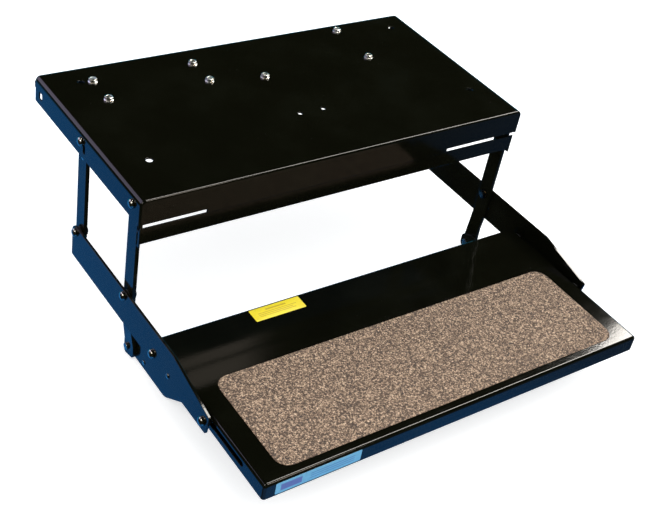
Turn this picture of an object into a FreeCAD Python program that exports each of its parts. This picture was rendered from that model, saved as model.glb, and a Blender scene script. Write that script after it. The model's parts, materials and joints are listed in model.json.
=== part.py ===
"""Fold-out entry step: pressed deck, four swinging arms, two side rails and a sliding tread.

Millimetres, +Z up, -Y towards the person stepping up. The origin is the centre of the deck's top
mounting face. The left-hand (-X) pieces are modelled and the right-hand ones are their mirror images.
"""
import FreeCAD, Part
import math
import os
import Sketcher

doc = FreeCAD.newDocument("entry_step")
sheet = doc.addObject("Spreadsheet::Sheet", "Sizes")
nodes = []
EPS = 0.01
SPARE = 2


# ---------------------------------------------------------------- sizes that know their own formula
class Size:
    """A number together with the sheet formula that gives it."""

    def __init__(self, value, text):
        self.value = value
        self.text = text

    def __add__(self, other):
        return Size(self.value + number(other), f"({self.text} + {formula(other)})")

    def __sub__(self, other):
        return Size(self.value - number(other), f"({self.text} - {formula(other)})")

    def __mul__(self, other):
        return Size(self.value * number(other), f"({self.text} * {formula(other)})")

    def __truediv__(self, other):
        return Size(self.value / number(other), f"({self.text} / {formula(other)})")

    def __radd__(self, other):
        return Size(number(other) + self.value, f"({formula(other)} + {self.text})")

    def __rsub__(self, other):
        return Size(number(other) - self.value, f"({formula(other)} - {self.text})")

    def __neg__(self):
        return Size(-self.value, f"(0 - {self.text})")

    __rmul__ = __mul__


def number(size):
    """The plain number of a size or of a number."""
    return size.value if isinstance(size, Size) else float(size)


def formula(size):
    """The sheet formula of a size or of a number."""
    return size.text if isinstance(size, Size) else repr(float(size))


def cell(alias, value, note):
    """One driving dimension: a row of the sheet with a word for its name."""
    cell.row += 1
    sheet.set(f"A{cell.row}", note)
    sheet.set(f"B{cell.row}", str(value))
    sheet.setAlias(f"B{cell.row}", alias)
    return Size(float(value), f"Sizes.{alias}")


cell.row = 0
ZERO = Size(0.0, "0")

deck_width = cell("deck_width", 610, "deck, side to side")
deck_depth = cell("deck_depth", 311.2, "deck, front to back")
deck_sheet = cell("deck_sheet", 2, "deck sheet thickness")
deck_flange = cell("deck_flange", 37, "side and rear flange height")
deck_front_flange = cell("deck_front_flange", 35, "front flange height at its ends")
deck_front_middle = cell("deck_front_middle", 40.5, "front flange height in the middle")
front_gap_start = cell("front_gap_start", 5, "start of the left gap under the front flange")
front_gap_left = cell("front_gap_left", 93, "end of the left gap under the front flange")
front_gap_right = cell("front_gap_right", 132, "end of the right gap, from the right side")
deck_bend = cell("deck_bend", 8, "outer bend radius of the side flanges")
deck_rear_bend = cell("deck_rear_bend", 8, "outer bend radius of the rear flange")
deck_front_bend = cell("deck_front_bend", 3, "outer bend radius of the front flange")

mount_side = cell("mount_side", 50, "mounting hole from the deck's side")
mount_right = cell("mount_right", 38, "right mounting holes from the deck's right side")
mount_front = cell("mount_front", 76, "front mounting hole from the deck's front")
mount_pitch = cell("mount_pitch", 196, "mounting holes, front to rear")
mount_hole = cell("mount_hole", 4.6, "mounting hole radius")
drain_hole = cell("drain_hole", 3, "radius of the two small holes")
drain_front = cell("drain_front", 105, "small holes from the deck's front")
drain_left = cell("drain_left", 12.6, "first small hole, left of the middle")
drain_right = cell("drain_right", 25.4, "second small hole, right of the middle")
through_depth = cell("through_depth", 8, "how far a hole's tool goes below the deck's top")
window_wide = cell("window_wide", 9, "side window, front to back")
window_high = cell("window_high", 10, "side window height")
window_rear = cell("window_rear", 18.4, "side window from the deck's rear")
window_top = cell("window_top", 17, "side window below the deck's top")
relief_wide = cell("relief_wide", 17, "rear corner reliefs, side to side")
relief_high = cell("relief_high", 17, "rear corner reliefs, height")
slot_radius = cell("slot_radius", 3, "adjusting slot radius")
slot_run = cell("slot_run", 8, "adjusting slot, centre to centre")
slot_back = cell("slot_back", 8.5, "adjusting slot in front of the rear pivot")
slot_drop = cell("slot_drop", 11, "adjusting slot below the rear pivot")
dimple_top = cell("dimple_top", 11.4, "bolt dimple radius at the top face")
dimple_floor = cell("dimple_floor", 8.5, "bolt dimple radius at its floor")
dimple_deep = cell("dimple_deep", 1.2, "bolt dimple depth")

deck_bolt = cell("deck_bolt", 3, "deck bolt shank radius")
deck_bolt_flats = cell("deck_bolt_flats", 10, "deck bolt head across flats")
deck_bolt_head = cell("deck_bolt_head", 5, "deck bolt head height")
deck_bolt_long = cell("deck_bolt_long", 14, "deck bolt shank length")
deck_bolt_washer = cell("deck_bolt_washer", 6.4, "radius of the flange under the head")
deck_bolt_rim = cell("deck_bolt_rim", 1.2, "thickness of the flange under the head")
deck_nut_high = cell("deck_nut_high", 5, "deck nut height")
bracket_sheet = cell("bracket_sheet", 2, "bracket sheet thickness")
bracket_margin = cell("bracket_margin", 7, "bracket edge beyond its bolts")
drive_bolt_left = cell("drive_bolt_left", 66, "left motor bracket bolts from the deck's left side")
drive_bolt_pitch = cell("drive_bolt_pitch", 152, "motor bracket bolts, side to side")
drive_bolt_front = cell("drive_bolt_front", 222, "front motor bracket bolts from the deck's front")
drive_bolt_rear = cell("drive_bolt_rear", 270.5, "rear motor bracket bolts from the deck's front")
control_bolt_left = cell("control_bolt_left", 298.5, "left control bolt from the deck's left side")
control_bolt_right = cell("control_bolt_right", 480, "right control bolts from the deck's left side")
control_bolt_front = cell("control_bolt_front", 206, "front control bolts from the deck's front")
control_bolt_rear = cell("control_bolt_rear", 290, "rear control bolt from the deck's front")

pivot_setback = cell("pivot_setback", 20.5, "front pivot from the deck's front")
pivot_drop = cell("pivot_drop", 15, "deck pivots below the deck's top")
pivot_pitch = cell("pivot_pitch", 142, "front pivot to rear pivot")
arm_length = cell("arm_length", 143, "deck pivot to rail pivot")
arm_width = cell("arm_width", 23.2, "arm bar width")
arm_thick = cell("arm_thick", 5.5, "arm bar thickness")
arm_nose = cell("arm_nose", 8.3, "half width of an arm's end")
arm_tail = cell("arm_tail", 92, "front arm, rail pivot to lower pin")
arm_joggle = cell("arm_joggle", 5, "how far the front arm's tail is set inwards")
pivot_washer = cell("pivot_washer", 0.5, "washer between deck flange and arm")
pivot_radius = cell("pivot_radius", 4, "pivot bolt shank radius")
bush_wall = cell("bush_wall", 1.5, "wall of the bushes in the arms")
running = cell("running", 0.05, "radial clearance of the running fits")
end_play = cell("end_play", 0.4, "side clearance between moving pieces")
pivot_head = cell("pivot_head", 6.2, "pivot bolt head radius")
pivot_head_high = cell("pivot_head_high", 5, "pivot bolt head height")
joggle_top = cell("joggle_top", 40, "start of the front arm's step below the rail pivot")
joggle_run = cell("joggle_run", 42, "length of the front arm's step")
foot_past = cell("foot_past", 13.5, "front arm past its lower pin")
foot_round = cell("foot_round", 4, "front arm's foot corner radius")
foot_cut = cell("foot_cut", 7, "height of the foot's cut corners")
foot_swell = cell("foot_swell", 5.5, "foot's rear edge behind the nose's")
pivot_nut_flats = cell("pivot_nut_flats", 12, "pivot nut across flats")
pivot_nut_high = cell("pivot_nut_high", 4.6, "pivot nut height")

rail_thick = cell("rail_thick", 3.5, "rail plate thickness")
rail_high = cell("rail_high", 51, "rail height")
rail_rise = cell("rail_rise", 8, "rail's top edge above its pivots")
rail_tail = cell("rail_tail", 10, "rail behind the rear pivot")
rail_rear_low = cell("rail_rear_low", 3, "corner radius at the rail's lower ends")
rail_rear_top = cell("rail_rear_top", 9, "corner radius at the rail's top rear")
rail_nose_lean = cell("rail_nose_lean", 4.5, "how far the rail's front end leans back at its foot")
rail_nose_round = cell("rail_nose_round", 2, "corner radius at the rail's front end")
rivet_radius = cell("rivet_radius", 2.2, "rail rivet shank radius")
rivet_head = cell("rivet_head", 3.6, "rail rivet head radius")
rivet_high = cell("rivet_high", 1.6, "rail rivet head height")
rivet_tail = cell("rivet_tail", 1.2, "rail rivet past the rail's inner face")
rivet_front = cell("rivet_front", 123.5, "rail rivet in front of the front pivot")
rivet_drop = cell("rivet_drop", 31.5, "rail rivet below the rail pivots")
stud_radius = cell("stud_radius", 2.6, "rail stud radius")
stud_long = cell("stud_long", 1.4, "rail stud length")
stud_front = cell("stud_front", 9.5, "rail stud in front of the front pivot")
stud_drop = cell("stud_drop", 21, "rail stud below the rail pivots")
rail_nose = cell("rail_nose", 221.5, "rail in front of the front pivot")
rail_taper = cell("rail_taper", 90, "length of the tapered end")
rail_taper_drop = cell("rail_taper_drop", 21.5, "drop of the tapered end")
guide_radius = cell("guide_radius", 3.8, "guide bolt shank radius")
guide_front = cell("guide_front", 208, "front guide bolt in front of the front pivot")
guide_rear = cell("guide_rear", 82.5, "rear guide bolt in front of the front pivot")
guide_drop = cell("guide_drop", 29.2, "guide bolts below the rail pivots")
guide_sleeve = cell("guide_sleeve", 7.5, "guide sleeve radius")
guide_washer = cell("guide_washer", 7, "guide washer radius")
guide_washer_thick = cell("guide_washer_thick", 1, "guide washer thickness")
guide_nut_flats = cell("guide_nut_flats", 11, "guide nut across flats")
guide_nut_high = cell("guide_nut_high", 3.4, "guide nut height")
guide_play = cell("guide_play", 0.3, "clearance of the guide bolts and washers at the tread")
washer_radius = cell("washer_radius", 6.4, "deck pivot washer radius")
spacer_radius = cell("spacer_radius", 7, "rail spacer radius")

tread_gap = cell("tread_gap", 4.2, "rail's inner face to the tread's side")
tread_sheet = cell("tread_sheet", 2, "tread sheet thickness")
tread_depth = cell("tread_depth", 264.6, "tread, front to back")
tread_flange = cell("tread_flange", 24, "tread flange height")
tread_rear_flange = cell("tread_rear_flange", 18, "tread rear flange height")
tread_drop = cell("tread_drop", 17.7, "tread's top below the rail pivots")
tread_reach = cell("tread_reach", 333.7, "tread's front in front of the front pivot")
tread_bend = cell("tread_bend", 5, "outer bend radius of the tread")
tread_travel = cell("tread_travel", 76, "how far the tread slides back along the rails")
guard_sheet = cell("guard_sheet", 1, "nut guard sheet thickness")
guard_spare = cell("guard_spare", 8, "nut guard beyond each end of its slot")
guard_in = cell("guard_in", 11.9, "nut guard from the deck's side")
pin_boss = cell("pin_boss", 7, "tread pin boss radius")
pad_thick = cell("pad_thick", 1.2, "grit pad thickness")
pad_width = cell("pad_width", 541, "grit pad, side to side")
pad_depth = cell("pad_depth", 156.5, "grit pad, front to back")
pad_corner = cell("pad_corner", 18, "grit pad corner radius")
pad_front = cell("pad_front", 13.2, "grit pad from the tread's front")
label_thick = cell("label_thick", 0.4, "label thickness")
hazard_wide = cell("hazard_wide", 77, "hazard label, side to side")
hazard_deep = cell("hazard_deep", 22.4, "hazard label, front to back")
hazard_side = cell("hazard_side", 139, "hazard label from the deck's left side")
hazard_rear = cell("hazard_rear", 26.6, "hazard label's front edge from the tread's rear")
rating_wide = cell("rating_wide", 119, "rating label, side to side")
rating_high = cell("rating_high", 18, "rating label height")
rating_side = cell("rating_side", 20, "rating label from the deck's left side")
rating_drop = cell("rating_drop", 3.5, "rating label below the tread's top")

panel_thick = cell("panel_thick", 2, "cross panel thickness")
panel_top = cell("panel_top", 42.5, "cross panel's top edge below the deck's top")
panel_high = cell("panel_high", 23, "cross panel height")
panel_proud = cell("panel_proud", 6.4, "cross panel's face in front of the arms")
tab_high = cell("tab_high", 24, "end tab height")
tab_drop = cell("tab_drop", 4.5, "end tabs start this far below the panel's top")

link_thick = cell("link_thick", 3, "drag link thickness")
link_half = cell("link_half", 10, "half the drag link's width, and its foot below the lower pin")
link_rise = cell("link_rise", 19, "level part's top edge above the lower pin")
link_past = cell("link_past", 8, "drag link past the tread pin")
link_corner = cell("link_corner", 7, "drag link's end corner radius")
link_elbow = cell("link_elbow", 20, "drag link's lower bend radius")
link_gap = cell("link_gap", 0.2, "drag link from the front arm")
link_rivet = cell("link_rivet", 3.4, "drag link rivet radius")
link_rivet_at = cell("link_rivet_at", 37.5, "drag link rivet in front of the lower pin")
link_rivet_in = cell("link_rivet_in", 1, "drag link rivet past the bar's outer face")
link_rivet_past = cell("link_rivet_past", 2.2, "drag link rivet's ends beyond the bar, together")
cap_radius = cell("cap_radius", 6, "tread pin cap radius")
cap_thick = cell("cap_thick", 1.6, "tread pin cap thickness")
lower_pin_set = cell("lower_pin_set", 2, "lower pin behind the front pivot")
lower_pin_head = cell("lower_pin_head", 5, "lower pin head radius")
lower_pin_high = cell("lower_pin_high", 2.4, "lower pin head height")
lower_clip = cell("lower_clip", 2, "lower pin clip thickness")
link_reach = cell("link_reach", 180.5, "drag link, lower pin to tread pin, level")
link_climb = cell("link_climb", 60, "drag link, lower pin to tread pin, upwards")
link_straight = cell("link_straight", 92, "level length of the drag link")
drive_radius = cell("drive_radius", 25, "crank radius, and drive pin below the rear pivot")
drive_back = cell("drive_back", 83, "crank axis behind the rear pivot")
drive_drop = cell("drive_drop", 5, "crank axis below the rear pivot")
drive_pin = cell("drive_pin", 4, "crank pin and drive pin radius")
motor_radius = cell("motor_radius", 27, "motor can radius")
motor_length = cell("motor_length", 140, "motor can length")
motor_clear = cell("motor_clear", 0.6, "motor rim below its bracket")
motor_lip = cell("motor_lip", 1.2, "rolled rim proud of the motor can")
motor_lip_wide = cell("motor_lip_wide", 4, "rolled rim width")
motor_lip_at = cell("motor_lip_at", 1, "rolled rim from the gear case")
cap_drum = cell("cap_drum", 9, "motor end cap length")
cap_step = cell("cap_step", 1, "end cap radius less than the motor's")
cap_boss = cell("cap_boss", 8, "end cap boss radius")
cap_boss_long = cell("cap_boss_long", 5, "end cap boss length")
case_side = cell("case_side", 24, "gear case from the deck's left side")
case_wide = cell("case_wide", 34, "gear case, side to side")
case_deep = cell("case_deep", 62, "gear case and motor bracket, front to back")
case_top = cell("case_top", 6, "gear case below the deck's top")
case_high = cell("case_high", 54, "gear case height")
case_screw = cell("case_screw", 3.2, "gear case screw head radius")
case_screw_high = cell("case_screw_high", 2.4, "gear case screw head height")
case_screw_in = cell("case_screw_in", 5, "gear case screws from the case's edges")
cheek_high = cell("cheek_high", 30, "motor bracket cheek height")
cheek_inset = cell("cheek_inset", 17, "motor bracket cheeks from the can's ends")
shaft_radius = cell("shaft_radius", 7, "output shaft radius")
shaft_long = cell("shaft_long", 26, "output shaft inside the case")
shaft_proud = cell("shaft_proud", 3.4, "output shaft out of the case")
shaft_spigot = cell("shaft_spigot", 5, "shaft spigot radius, and the crank's bore")
crank_gap = cell("crank_gap", 8, "crank from the gear case")
crank_thick = cell("crank_thick", 4.6, "crank bar thickness")
crank_half = cell("crank_half", 9, "half the crank's width")
crank_past = cell("crank_past", 8, "crank past its pin")
crank_corner = cell("crank_corner", 7, "crank end corner radius")
bar_thick = cell("bar_thick", 3.6, "drive link thickness")
bar_half = cell("bar_half", 7, "half the drive link's height")
bar_past = cell("bar_past", 8, "drive link past its pins")
bar_corner = cell("bar_corner", 5.5, "drive link corner radius")
bar_gap = cell("bar_gap", 0.4, "drive link from the crank")
control_wide = cell("control_wide", 120, "control box, side to side")
control_deep = cell("control_deep", 64, "control box, front to back")
control_high = cell("control_high", 24, "control box height")
control_side = cell("control_side", 26, "control box from its left bolt")
control_front = cell("control_front", 14, "control box from its front bolts")
lid_rim = cell("lid_rim", 2, "control lid thickness and rim")
socket_wide = cell("socket_wide", 14, "control socket width and height")
socket_deep = cell("socket_deep", 26, "control socket, front to back")

# places worked out from the driving sizes
left_side = deck_width * -0.5
deck_front = deck_depth * -0.5
front_pivot = deck_front + pivot_setback
rear_pivot = front_pivot + pivot_pitch
pivot_level = -pivot_drop
rail_pivot_level = pivot_level - arm_length
arm_outer = left_side + deck_sheet + pivot_washer
arm_inner = arm_outer + arm_thick
tail_outer = arm_outer + arm_joggle
tail_inner = tail_outer + arm_thick
tread_side = left_side + tread_gap
tread_top = rail_pivot_level - tread_drop
tread_front = front_pivot - tread_reach
tread_inner = tread_side + tread_sheet
guide_level = rail_pivot_level - guide_drop
lower_pin_level = rail_pivot_level - arm_tail
bush_radius = pivot_radius + running + bush_wall
crank_axis = rear_pivot + drive_back
crank_level = pivot_level - drive_drop
lower_pin_at = front_pivot + lower_pin_set
tread_pin_at = lower_pin_at - link_reach
tread_pin_level = lower_pin_level + link_climb
case_x = left_side + case_side
crank_x = case_x - crank_gap
hang = -deck_sheet - dimple_deep
motor_level = hang - bracket_sheet - motor_clear - motor_lip - motor_radius


# ---------------------------------------------------------------- building blocks
def tie(obj, prop, size):
    """Set a property and tie it to the sheet."""
    setattr(obj, prop, number(size))
    if isinstance(size, Size):
        obj.setExpression(prop, size.text)


def place(obj, x=0.0, y=0.0, z=0.0, turn=None):
    """Put an object at a point, turned if asked, with the point tied to the sheet."""
    rotation = turn or FreeCAD.Rotation()
    obj.Placement = FreeCAD.Placement(FreeCAD.Vector(number(x), number(y), number(z)), rotation)
    for axis, size in zip("xyz", (x, y, z)):
        if isinstance(size, Size):
            obj.setExpression(f"Placement.Base.{axis}", size.text)
    return obj


ALONG_X = FreeCAD.Rotation(FreeCAD.Vector(0, 1, 0), 90)
UP = FreeCAD.Rotation()
DOWN = FreeCAD.Rotation(FreeCAD.Vector(1, 0, 0), 180)


def box(name, size, at):
    """A block from its lowest corner."""
    block = doc.addObject("Part::Box", name)
    for prop, length in zip(("Length", "Width", "Height"), size):
        tie(block, prop, length)
    return place(block, *at)


def rod(name, radius, length, at, turn=ALONG_X):
    """A round bar, along +X unless turned another way."""
    bar = doc.addObject("Part::Cylinder", name)
    tie(bar, "Radius", radius)
    tie(bar, "Height", length)
    return place(bar, *at, turn)


def cone(name, low_radius, high_radius, length, at, turn=ALONG_X):
    """A tapered round bar."""
    taper = doc.addObject("Part::Cone", name)
    tie(taper, "Radius1", low_radius)
    tie(taper, "Radius2", high_radius)
    tie(taper, "Height", length)
    return place(taper, *at, turn)


def hexagon(name, flats, length, at, turn=ALONG_X):
    """A hexagonal bar given across its flats."""
    bar = doc.addObject("Part::Prism", name)
    bar.Polygon = 6
    tie(bar, "Circumradius", flats / math.sqrt(3))
    tie(bar, "Height", length)
    return place(bar, *at, turn)


def fuse(name, shapes):
    """Several overlapping or touching shapes made one solid."""
    joined = doc.addObject("Part::MultiFuse", name)
    joined.Shapes = shapes
    joined.Refine = True
    return joined


def cut(name, base, tools):
    """A shape with others taken away."""
    result = doc.addObject("Part::Cut", name)
    result.Base = base
    result.Tool = tools[0] if len(tools) == 1 else fuse(name + "_tools", tools)
    result.Refine = True
    return result


def group(name, solids):
    """Identical separate solids kept in one node."""
    gathered = doc.addObject("Part::Compound", name)
    gathered.Links = solids
    return node(gathered, name)


def mirrored(source, name):
    """The right-hand copy of a left-hand shape."""
    copy = doc.addObject("Part::Mirroring", name)
    copy.Source = source
    copy.Base = FreeCAD.Vector(0, 0, 0)
    copy.Normal = FreeCAD.Vector(1, 0, 0)
    return copy


def node(obj, name):
    """Mark an object as a finished piece that is written to its own file."""
    obj.Label = name
    nodes.append((name, obj))
    return obj


def padded(name, plane, points, length, holes=(), both_ways=False):
    """A body made by drawing a closed outline on one of its planes and padding it."""
    body = doc.addObject("PartDesign::Body", name)
    sketch = body.newObject("Sketcher::SketchObject", name + "_outline")
    support = [f for f in body.Origin.OriginFeatures if f.Role == plane][0]
    sketch.AttachmentSupport = [(support, "")]
    sketch.MapMode = "FlatFace"
    doc.recompute()
    draw_outline(sketch, points)
    for y, z, radius in holes:
        draw_hole(sketch, y, z, radius)
    pad = body.newObject("PartDesign::Pad", name + "_pad")
    pad.Profile = sketch
    pad.Midplane = both_ways
    tie(pad, "Length", length)
    doc.recompute()
    return body


def rounded(body, name, edges, radius):
    """The body with some of its edges rounded."""
    before = body.Tip
    fillet = body.newObject("PartDesign::Fillet", name)
    fillet.Base = (before, edges)
    tie(fillet, "Radius", radius)
    body.Tip = fillet
    doc.recompute()


def plate(name, points, thick, at, corners=(), holes=()):
    """A flat plate in a Y-Z plane, thick along +X.

    points are the outline's corners from the plate's own origin; corners gives a radius for some of
    them by index; holes are (y, z, radius).
    """
    body = padded(name, "YZ_Plane", points, thick, holes)
    for radius in sorted({number(r) for _, r in corners}):
        chosen = [(i, r) for i, r in corners if abs(number(r) - radius) < EPS]
        spots = [points[i] for i, _ in chosen]
        round_corners(body, name, spots, chosen[0][1])
    return place(body, *at)


def draw_outline(sketch, points):
    """A closed outline whose every corner is tied to the sheet."""
    count = len(points)
    spots = [FreeCAD.Vector(number(y), number(z), 0) for y, z in points]
    lines = [Part.LineSegment(spots[i], spots[(i + 1) % count]) for i in range(count)]
    first = sketch.addGeometry(lines, False)[0]
    for i in range(count):
        sketch.addConstraint(Sketcher.Constraint("Coincident", first + i, 2, first + (i + 1) % count, 1))
    for i, (y, z) in enumerate(points):
        pin_point(sketch, first + i, 1, y, z)


def draw_hole(sketch, y, z, radius):
    """A round hole tied to the sheet."""
    centre = FreeCAD.Vector(number(y), number(z), 0)
    circle = Part.Circle(centre, FreeCAD.Vector(0, 0, 1), number(radius))
    index = sketch.addGeometry(circle, False)
    pin_point(sketch, index, 3, y, z)
    constraint = sketch.addConstraint(Sketcher.Constraint("Radius", index, number(radius)))
    if isinstance(radius, Size):
        sketch.setExpression(f"Constraints[{constraint}]", radius.text)


def pin_point(sketch, geometry, end, y, z):
    """Fix one point of a sketch by its two distances from the origin."""
    for kind, size in (("DistanceX", y), ("DistanceY", z)):
        index = sketch.addConstraint(Sketcher.Constraint(kind, -1, 1, geometry, end, number(size)))
        if isinstance(size, Size):
            sketch.setExpression(f"Constraints[{index}]", size.text)


def round_corners(body, name, spots, radius):
    """Round the plate's edges that stand on the given outline corners."""
    solid = body.Shape
    names = []
    for index, edge in enumerate(solid.Edges, 1):
        if len(edge.Vertexes) != 2:
            continue
        start = edge.Vertexes[0].Point
        end = edge.Vertexes[1].Point
        level = abs(start.y - end.y) < EPS and abs(start.z - end.z) < EPS
        if not level:
            continue
        for y, z in spots:
            if abs(start.y - number(y)) < EPS and abs(start.z - number(z)) < EPS:
                names.append(f"Edge{index}")
    rounded(body, f"{name}_round", names, radius)


def rounded_block(name, width, depth, height, side_bend, front_bend, rear_bend, at):
    """A block standing on z = 0 whose top edges are rounded, as the outside of a bent sheet pan."""
    half = width / 2
    plan = [(-half, ZERO), (half, ZERO), (half, depth), (-half, depth)]
    body = padded(name, "XY_Plane", plan, height)

    def round_top(suffix, test, radius):
        chosen = []
        for index, edge in enumerate(body.Shape.Edges, 1):
            centre = edge.CenterOfMass
            on_top = abs(centre.z - number(height)) < EPS
            if on_top and test(centre):
                chosen.append(f"Edge{index}")
        rounded(body, name + suffix, chosen, radius)

    round_top("_sides", lambda c: abs(abs(c.x) - number(half)) < EPS, side_bend)
    round_top("_rear", lambda c: abs(c.y - number(depth)) < EPS, rear_bend)
    round_top("_front", lambda c: abs(c.y) < EPS, front_bend)
    return place(body, *at)


def pan(name, width, depth, height, thick, bends, at):
    """A bent sheet pan, open underneath: the outer block less the inner one."""
    side_bend, front_bend, rear_bend = bends
    x, y, z = at
    outer = rounded_block(name + "_outer", width, depth, height, side_bend, front_bend, rear_bend, at)
    inner_width = width - thick * 2
    inner_depth = depth - thick * 2
    inner_at = (x, y + thick, z - thick)
    inner_bends = (side_bend - thick, front_bend - thick, rear_bend - thick)
    inner = rounded_block(name + "_inner", inner_width, inner_depth, height, *inner_bends, inner_at)
    return cut(name + "_sheet", outer, [inner])


def slot_tool(name, radius, start, end, level, x, thick):
    """A round-ended slot along Y, cut through along X."""
    length = end - start
    ends = [rod(f"{name}_{i}", radius, thick, (x, y, level)) for i, y in enumerate((start, end))]
    middle = box(name + "_run", (thick, length, radius * 2), (x, start, level - radius))
    return fuse(name, [middle] + ends)


def bolt_across(name, radius, head_radius, head_high, x, y, z, length):
    """A domed bolt along +X: its head lies outside x, its shank runs inwards."""
    head = rod(name + "_head", head_radius, head_high * 0.6, (x - head_high * 0.6, y, z))
    crown = cone(name + "_crown", head_radius * 0.62, head_radius, head_high * 0.4, (x - head_high, y, z))
    shank = rod(name + "_shank", radius, length, (x, y, z))
    return fuse(name, [head, crown, shank])


def nut_across(name, flats, high, bore, x, y, z):
    """A hexagon nut along +X with its bore."""
    blank = hexagon(name + "_blank", flats, high, (x, y, z))
    return cut(name, blank, [rod(name + "_bore", bore, high, (x, y, z))])


def ring_across(name, radius, bore, thick, x, y, z):
    """A washer, spacer or bush along +X."""
    disc = rod(name + "_disc", radius, thick, (x, y, z))
    return cut(name, disc, [rod(name + "_bore", bore, thick, (x, y, z))])


def both_sides(name, make_left, places):
    """One group of like solids: each left-hand one and its mirror image."""
    solids = []
    for index, (y, z) in enumerate(places, 1):
        left = make_left(f"{name}_left_{index}", y, z)
        solids += [left, mirrored(left, f"{name}_right_{index}")]
    return group(name, solids)


# ---------------------------------------------------------------- deck
drive_bolt_far = drive_bolt_left + drive_bolt_pitch
drive_bolts_at = [(left_side + x, deck_front + y) for x in (drive_bolt_left, drive_bolt_far)
                  for y in (drive_bolt_rear, drive_bolt_front)]
control_bolts_at = [
    (left_side + control_bolt_left, deck_front + control_bolt_front),
    (left_side + control_bolt_right, deck_front + control_bolt_rear),
    (left_side + control_bolt_right, deck_front + control_bolt_front),
]
deck_bolts_at = drive_bolts_at + control_bolts_at
deck_pivots = [(front_pivot, pivot_level), (rear_pivot, pivot_level)]
rail_pivots = [(front_pivot, rail_pivot_level), (rear_pivot, rail_pivot_level)]
guides = [(front_pivot - guide_front, guide_level), (front_pivot - guide_rear, guide_level)]


def down_hole(name, radius, x, y):
    """A tool for a hole drilled straight down through the deck and what is bolted under it."""
    return rod(name, radius, through_depth + SPARE, (x, y, -through_depth), UP)


def deck_trims():
    """What is cut away from the lower edges of the deck's four flanges."""
    full = deck_width + SPARE * 2
    outside = left_side - SPARE
    ahead = deck_front - SPARE
    below = deck_front_middle - deck_flange
    end_below = deck_front_middle - deck_front_flange
    relief_level = -deck_flange
    relief = box("rear_relief", (relief_wide, deck_sheet + SPARE, relief_high),
                 (left_side + deck_sheet, -deck_front - deck_sheet, relief_level))
    return [
        box("trim_rear", (full, deck_depth, below), (outside, deck_front + deck_sheet, -deck_front_middle)),
        box("trim_left", (front_gap_left - front_gap_start, deck_sheet + SPARE, end_below),
            (left_side + front_gap_start, ahead, -deck_front_middle)),
        box("trim_right", (front_gap_right + SPARE, deck_sheet + SPARE, end_below),
            (-left_side - front_gap_right, ahead, -deck_front_middle)),
        relief,
        mirrored(relief, "rear_relief_right"),
    ]


def make_deck():
    """Bent sheet deck with bolt dimples, mounting holes, drain holes and pivot holes."""
    bends = (deck_bend, deck_front_bend, deck_rear_bend)
    shell = pan("deck", deck_width, deck_depth, deck_front_middle, deck_sheet, bends,
                (ZERO, deck_front, -deck_front_middle))
    full = deck_width + SPARE * 2
    outside = left_side - SPARE
    bosses = []
    tools = []
    for i, (x, y) in enumerate(deck_bolts_at):
        bosses.append(cone(f"dimple_boss_{i}", dimple_floor, dimple_top, dimple_deep, (x, y, hang), UP))
        tools.append(cone(f"dimple_{i}", dimple_floor, dimple_top, dimple_deep, (x, y, -dimple_deep), UP))
        tools.append(down_hole(f"deck_bolt_hole_{i}", deck_bolt, x, y))
    for i, x in enumerate((left_side + mount_side, -left_side - mount_right)):
        for j, y in enumerate((mount_front, mount_front + mount_pitch)):
            tools.append(down_hole(f"mount_hole_{i}_{j}", mount_hole, x, deck_front + y))
    for i, x in enumerate((-drain_left, drain_right)):
        tools.append(down_hole(f"drain_hole_{i}", drain_hole, x, deck_front + drain_front))
    for i, (y, z) in enumerate(deck_pivots):
        tools.append(rod(f"pivot_hole_{i}", pivot_radius, full, (outside, y, z)))
    tools.append(box("side_window", (full, window_wide, window_high),
                     (outside, -deck_front - window_rear - window_wide, -window_top - window_high)))
    side_slot = slot_tool("adjust_slot", slot_radius, ZERO, slot_run, ZERO, ZERO, full)
    upright = FreeCAD.Rotation(FreeCAD.Vector(1, 0, 0), 90)
    tools.append(place(side_slot, outside, rear_pivot - slot_back, pivot_level - slot_drop, upright))
    node(cut("deck_plate", fuse("deck_with_bosses", [shell] + bosses), tools + deck_trims()), "deck_plate")


def make_deck_fasteners():
    """Bolts standing in the dimples, with nuts clamping what hangs under the deck."""
    bolts = []
    nuts = []
    nut_level = hang - bracket_sheet - deck_nut_high
    for i, (x, y) in enumerate(deck_bolts_at):
        seat = (x, y, -dimple_deep)
        head = hexagon(f"deck_head_{i}", deck_bolt_flats, deck_bolt_head, seat, UP)
        flange = rod(f"deck_head_flange_{i}", deck_bolt_washer, deck_bolt_rim, seat, UP)
        shank = rod(f"deck_shank_{i}", deck_bolt, deck_bolt_long, seat, DOWN)
        bolts.append(fuse(f"deck_bolt_{i}", [head, flange, shank]))
        blank = hexagon(f"deck_nut_blank_{i}", deck_bolt_flats, deck_nut_high, (x, y, nut_level), UP)
        bore = rod(f"deck_nut_bore_{i}", deck_bolt, deck_nut_high, (x, y, nut_level), UP)
        nuts.append(cut(f"deck_nut_{i}", blank, [bore]))
    group("deck_bolts", bolts)
    group("deck_nuts", nuts)


# ---------------------------------------------------------------- pivots of the arms on the deck
def make_deck_pivots():
    """Domed bolts through the side flanges, with a washer outside the arm and a nut inside it."""
    nut_at = arm_inner + end_play
    length = nut_at - left_side + pivot_nut_high
    both_sides("deck_pivot_bolts", lambda name, y, z: bolt_across(
        name, pivot_radius, pivot_head, pivot_head_high, left_side, y, z, length), deck_pivots)
    both_sides("deck_pivot_washers", lambda name, y, z: ring_across(
        name, washer_radius, pivot_radius, pivot_washer * 0.8, left_side + deck_sheet, y, z), deck_pivots)
    both_sides("deck_pivot_nuts", lambda name, y, z: nut_across(
        name, pivot_nut_flats, pivot_nut_high, pivot_radius, nut_at, y, z), deck_pivots)


# ---------------------------------------------------------------- arms
nose_round = arm_nose - 0.3


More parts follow.
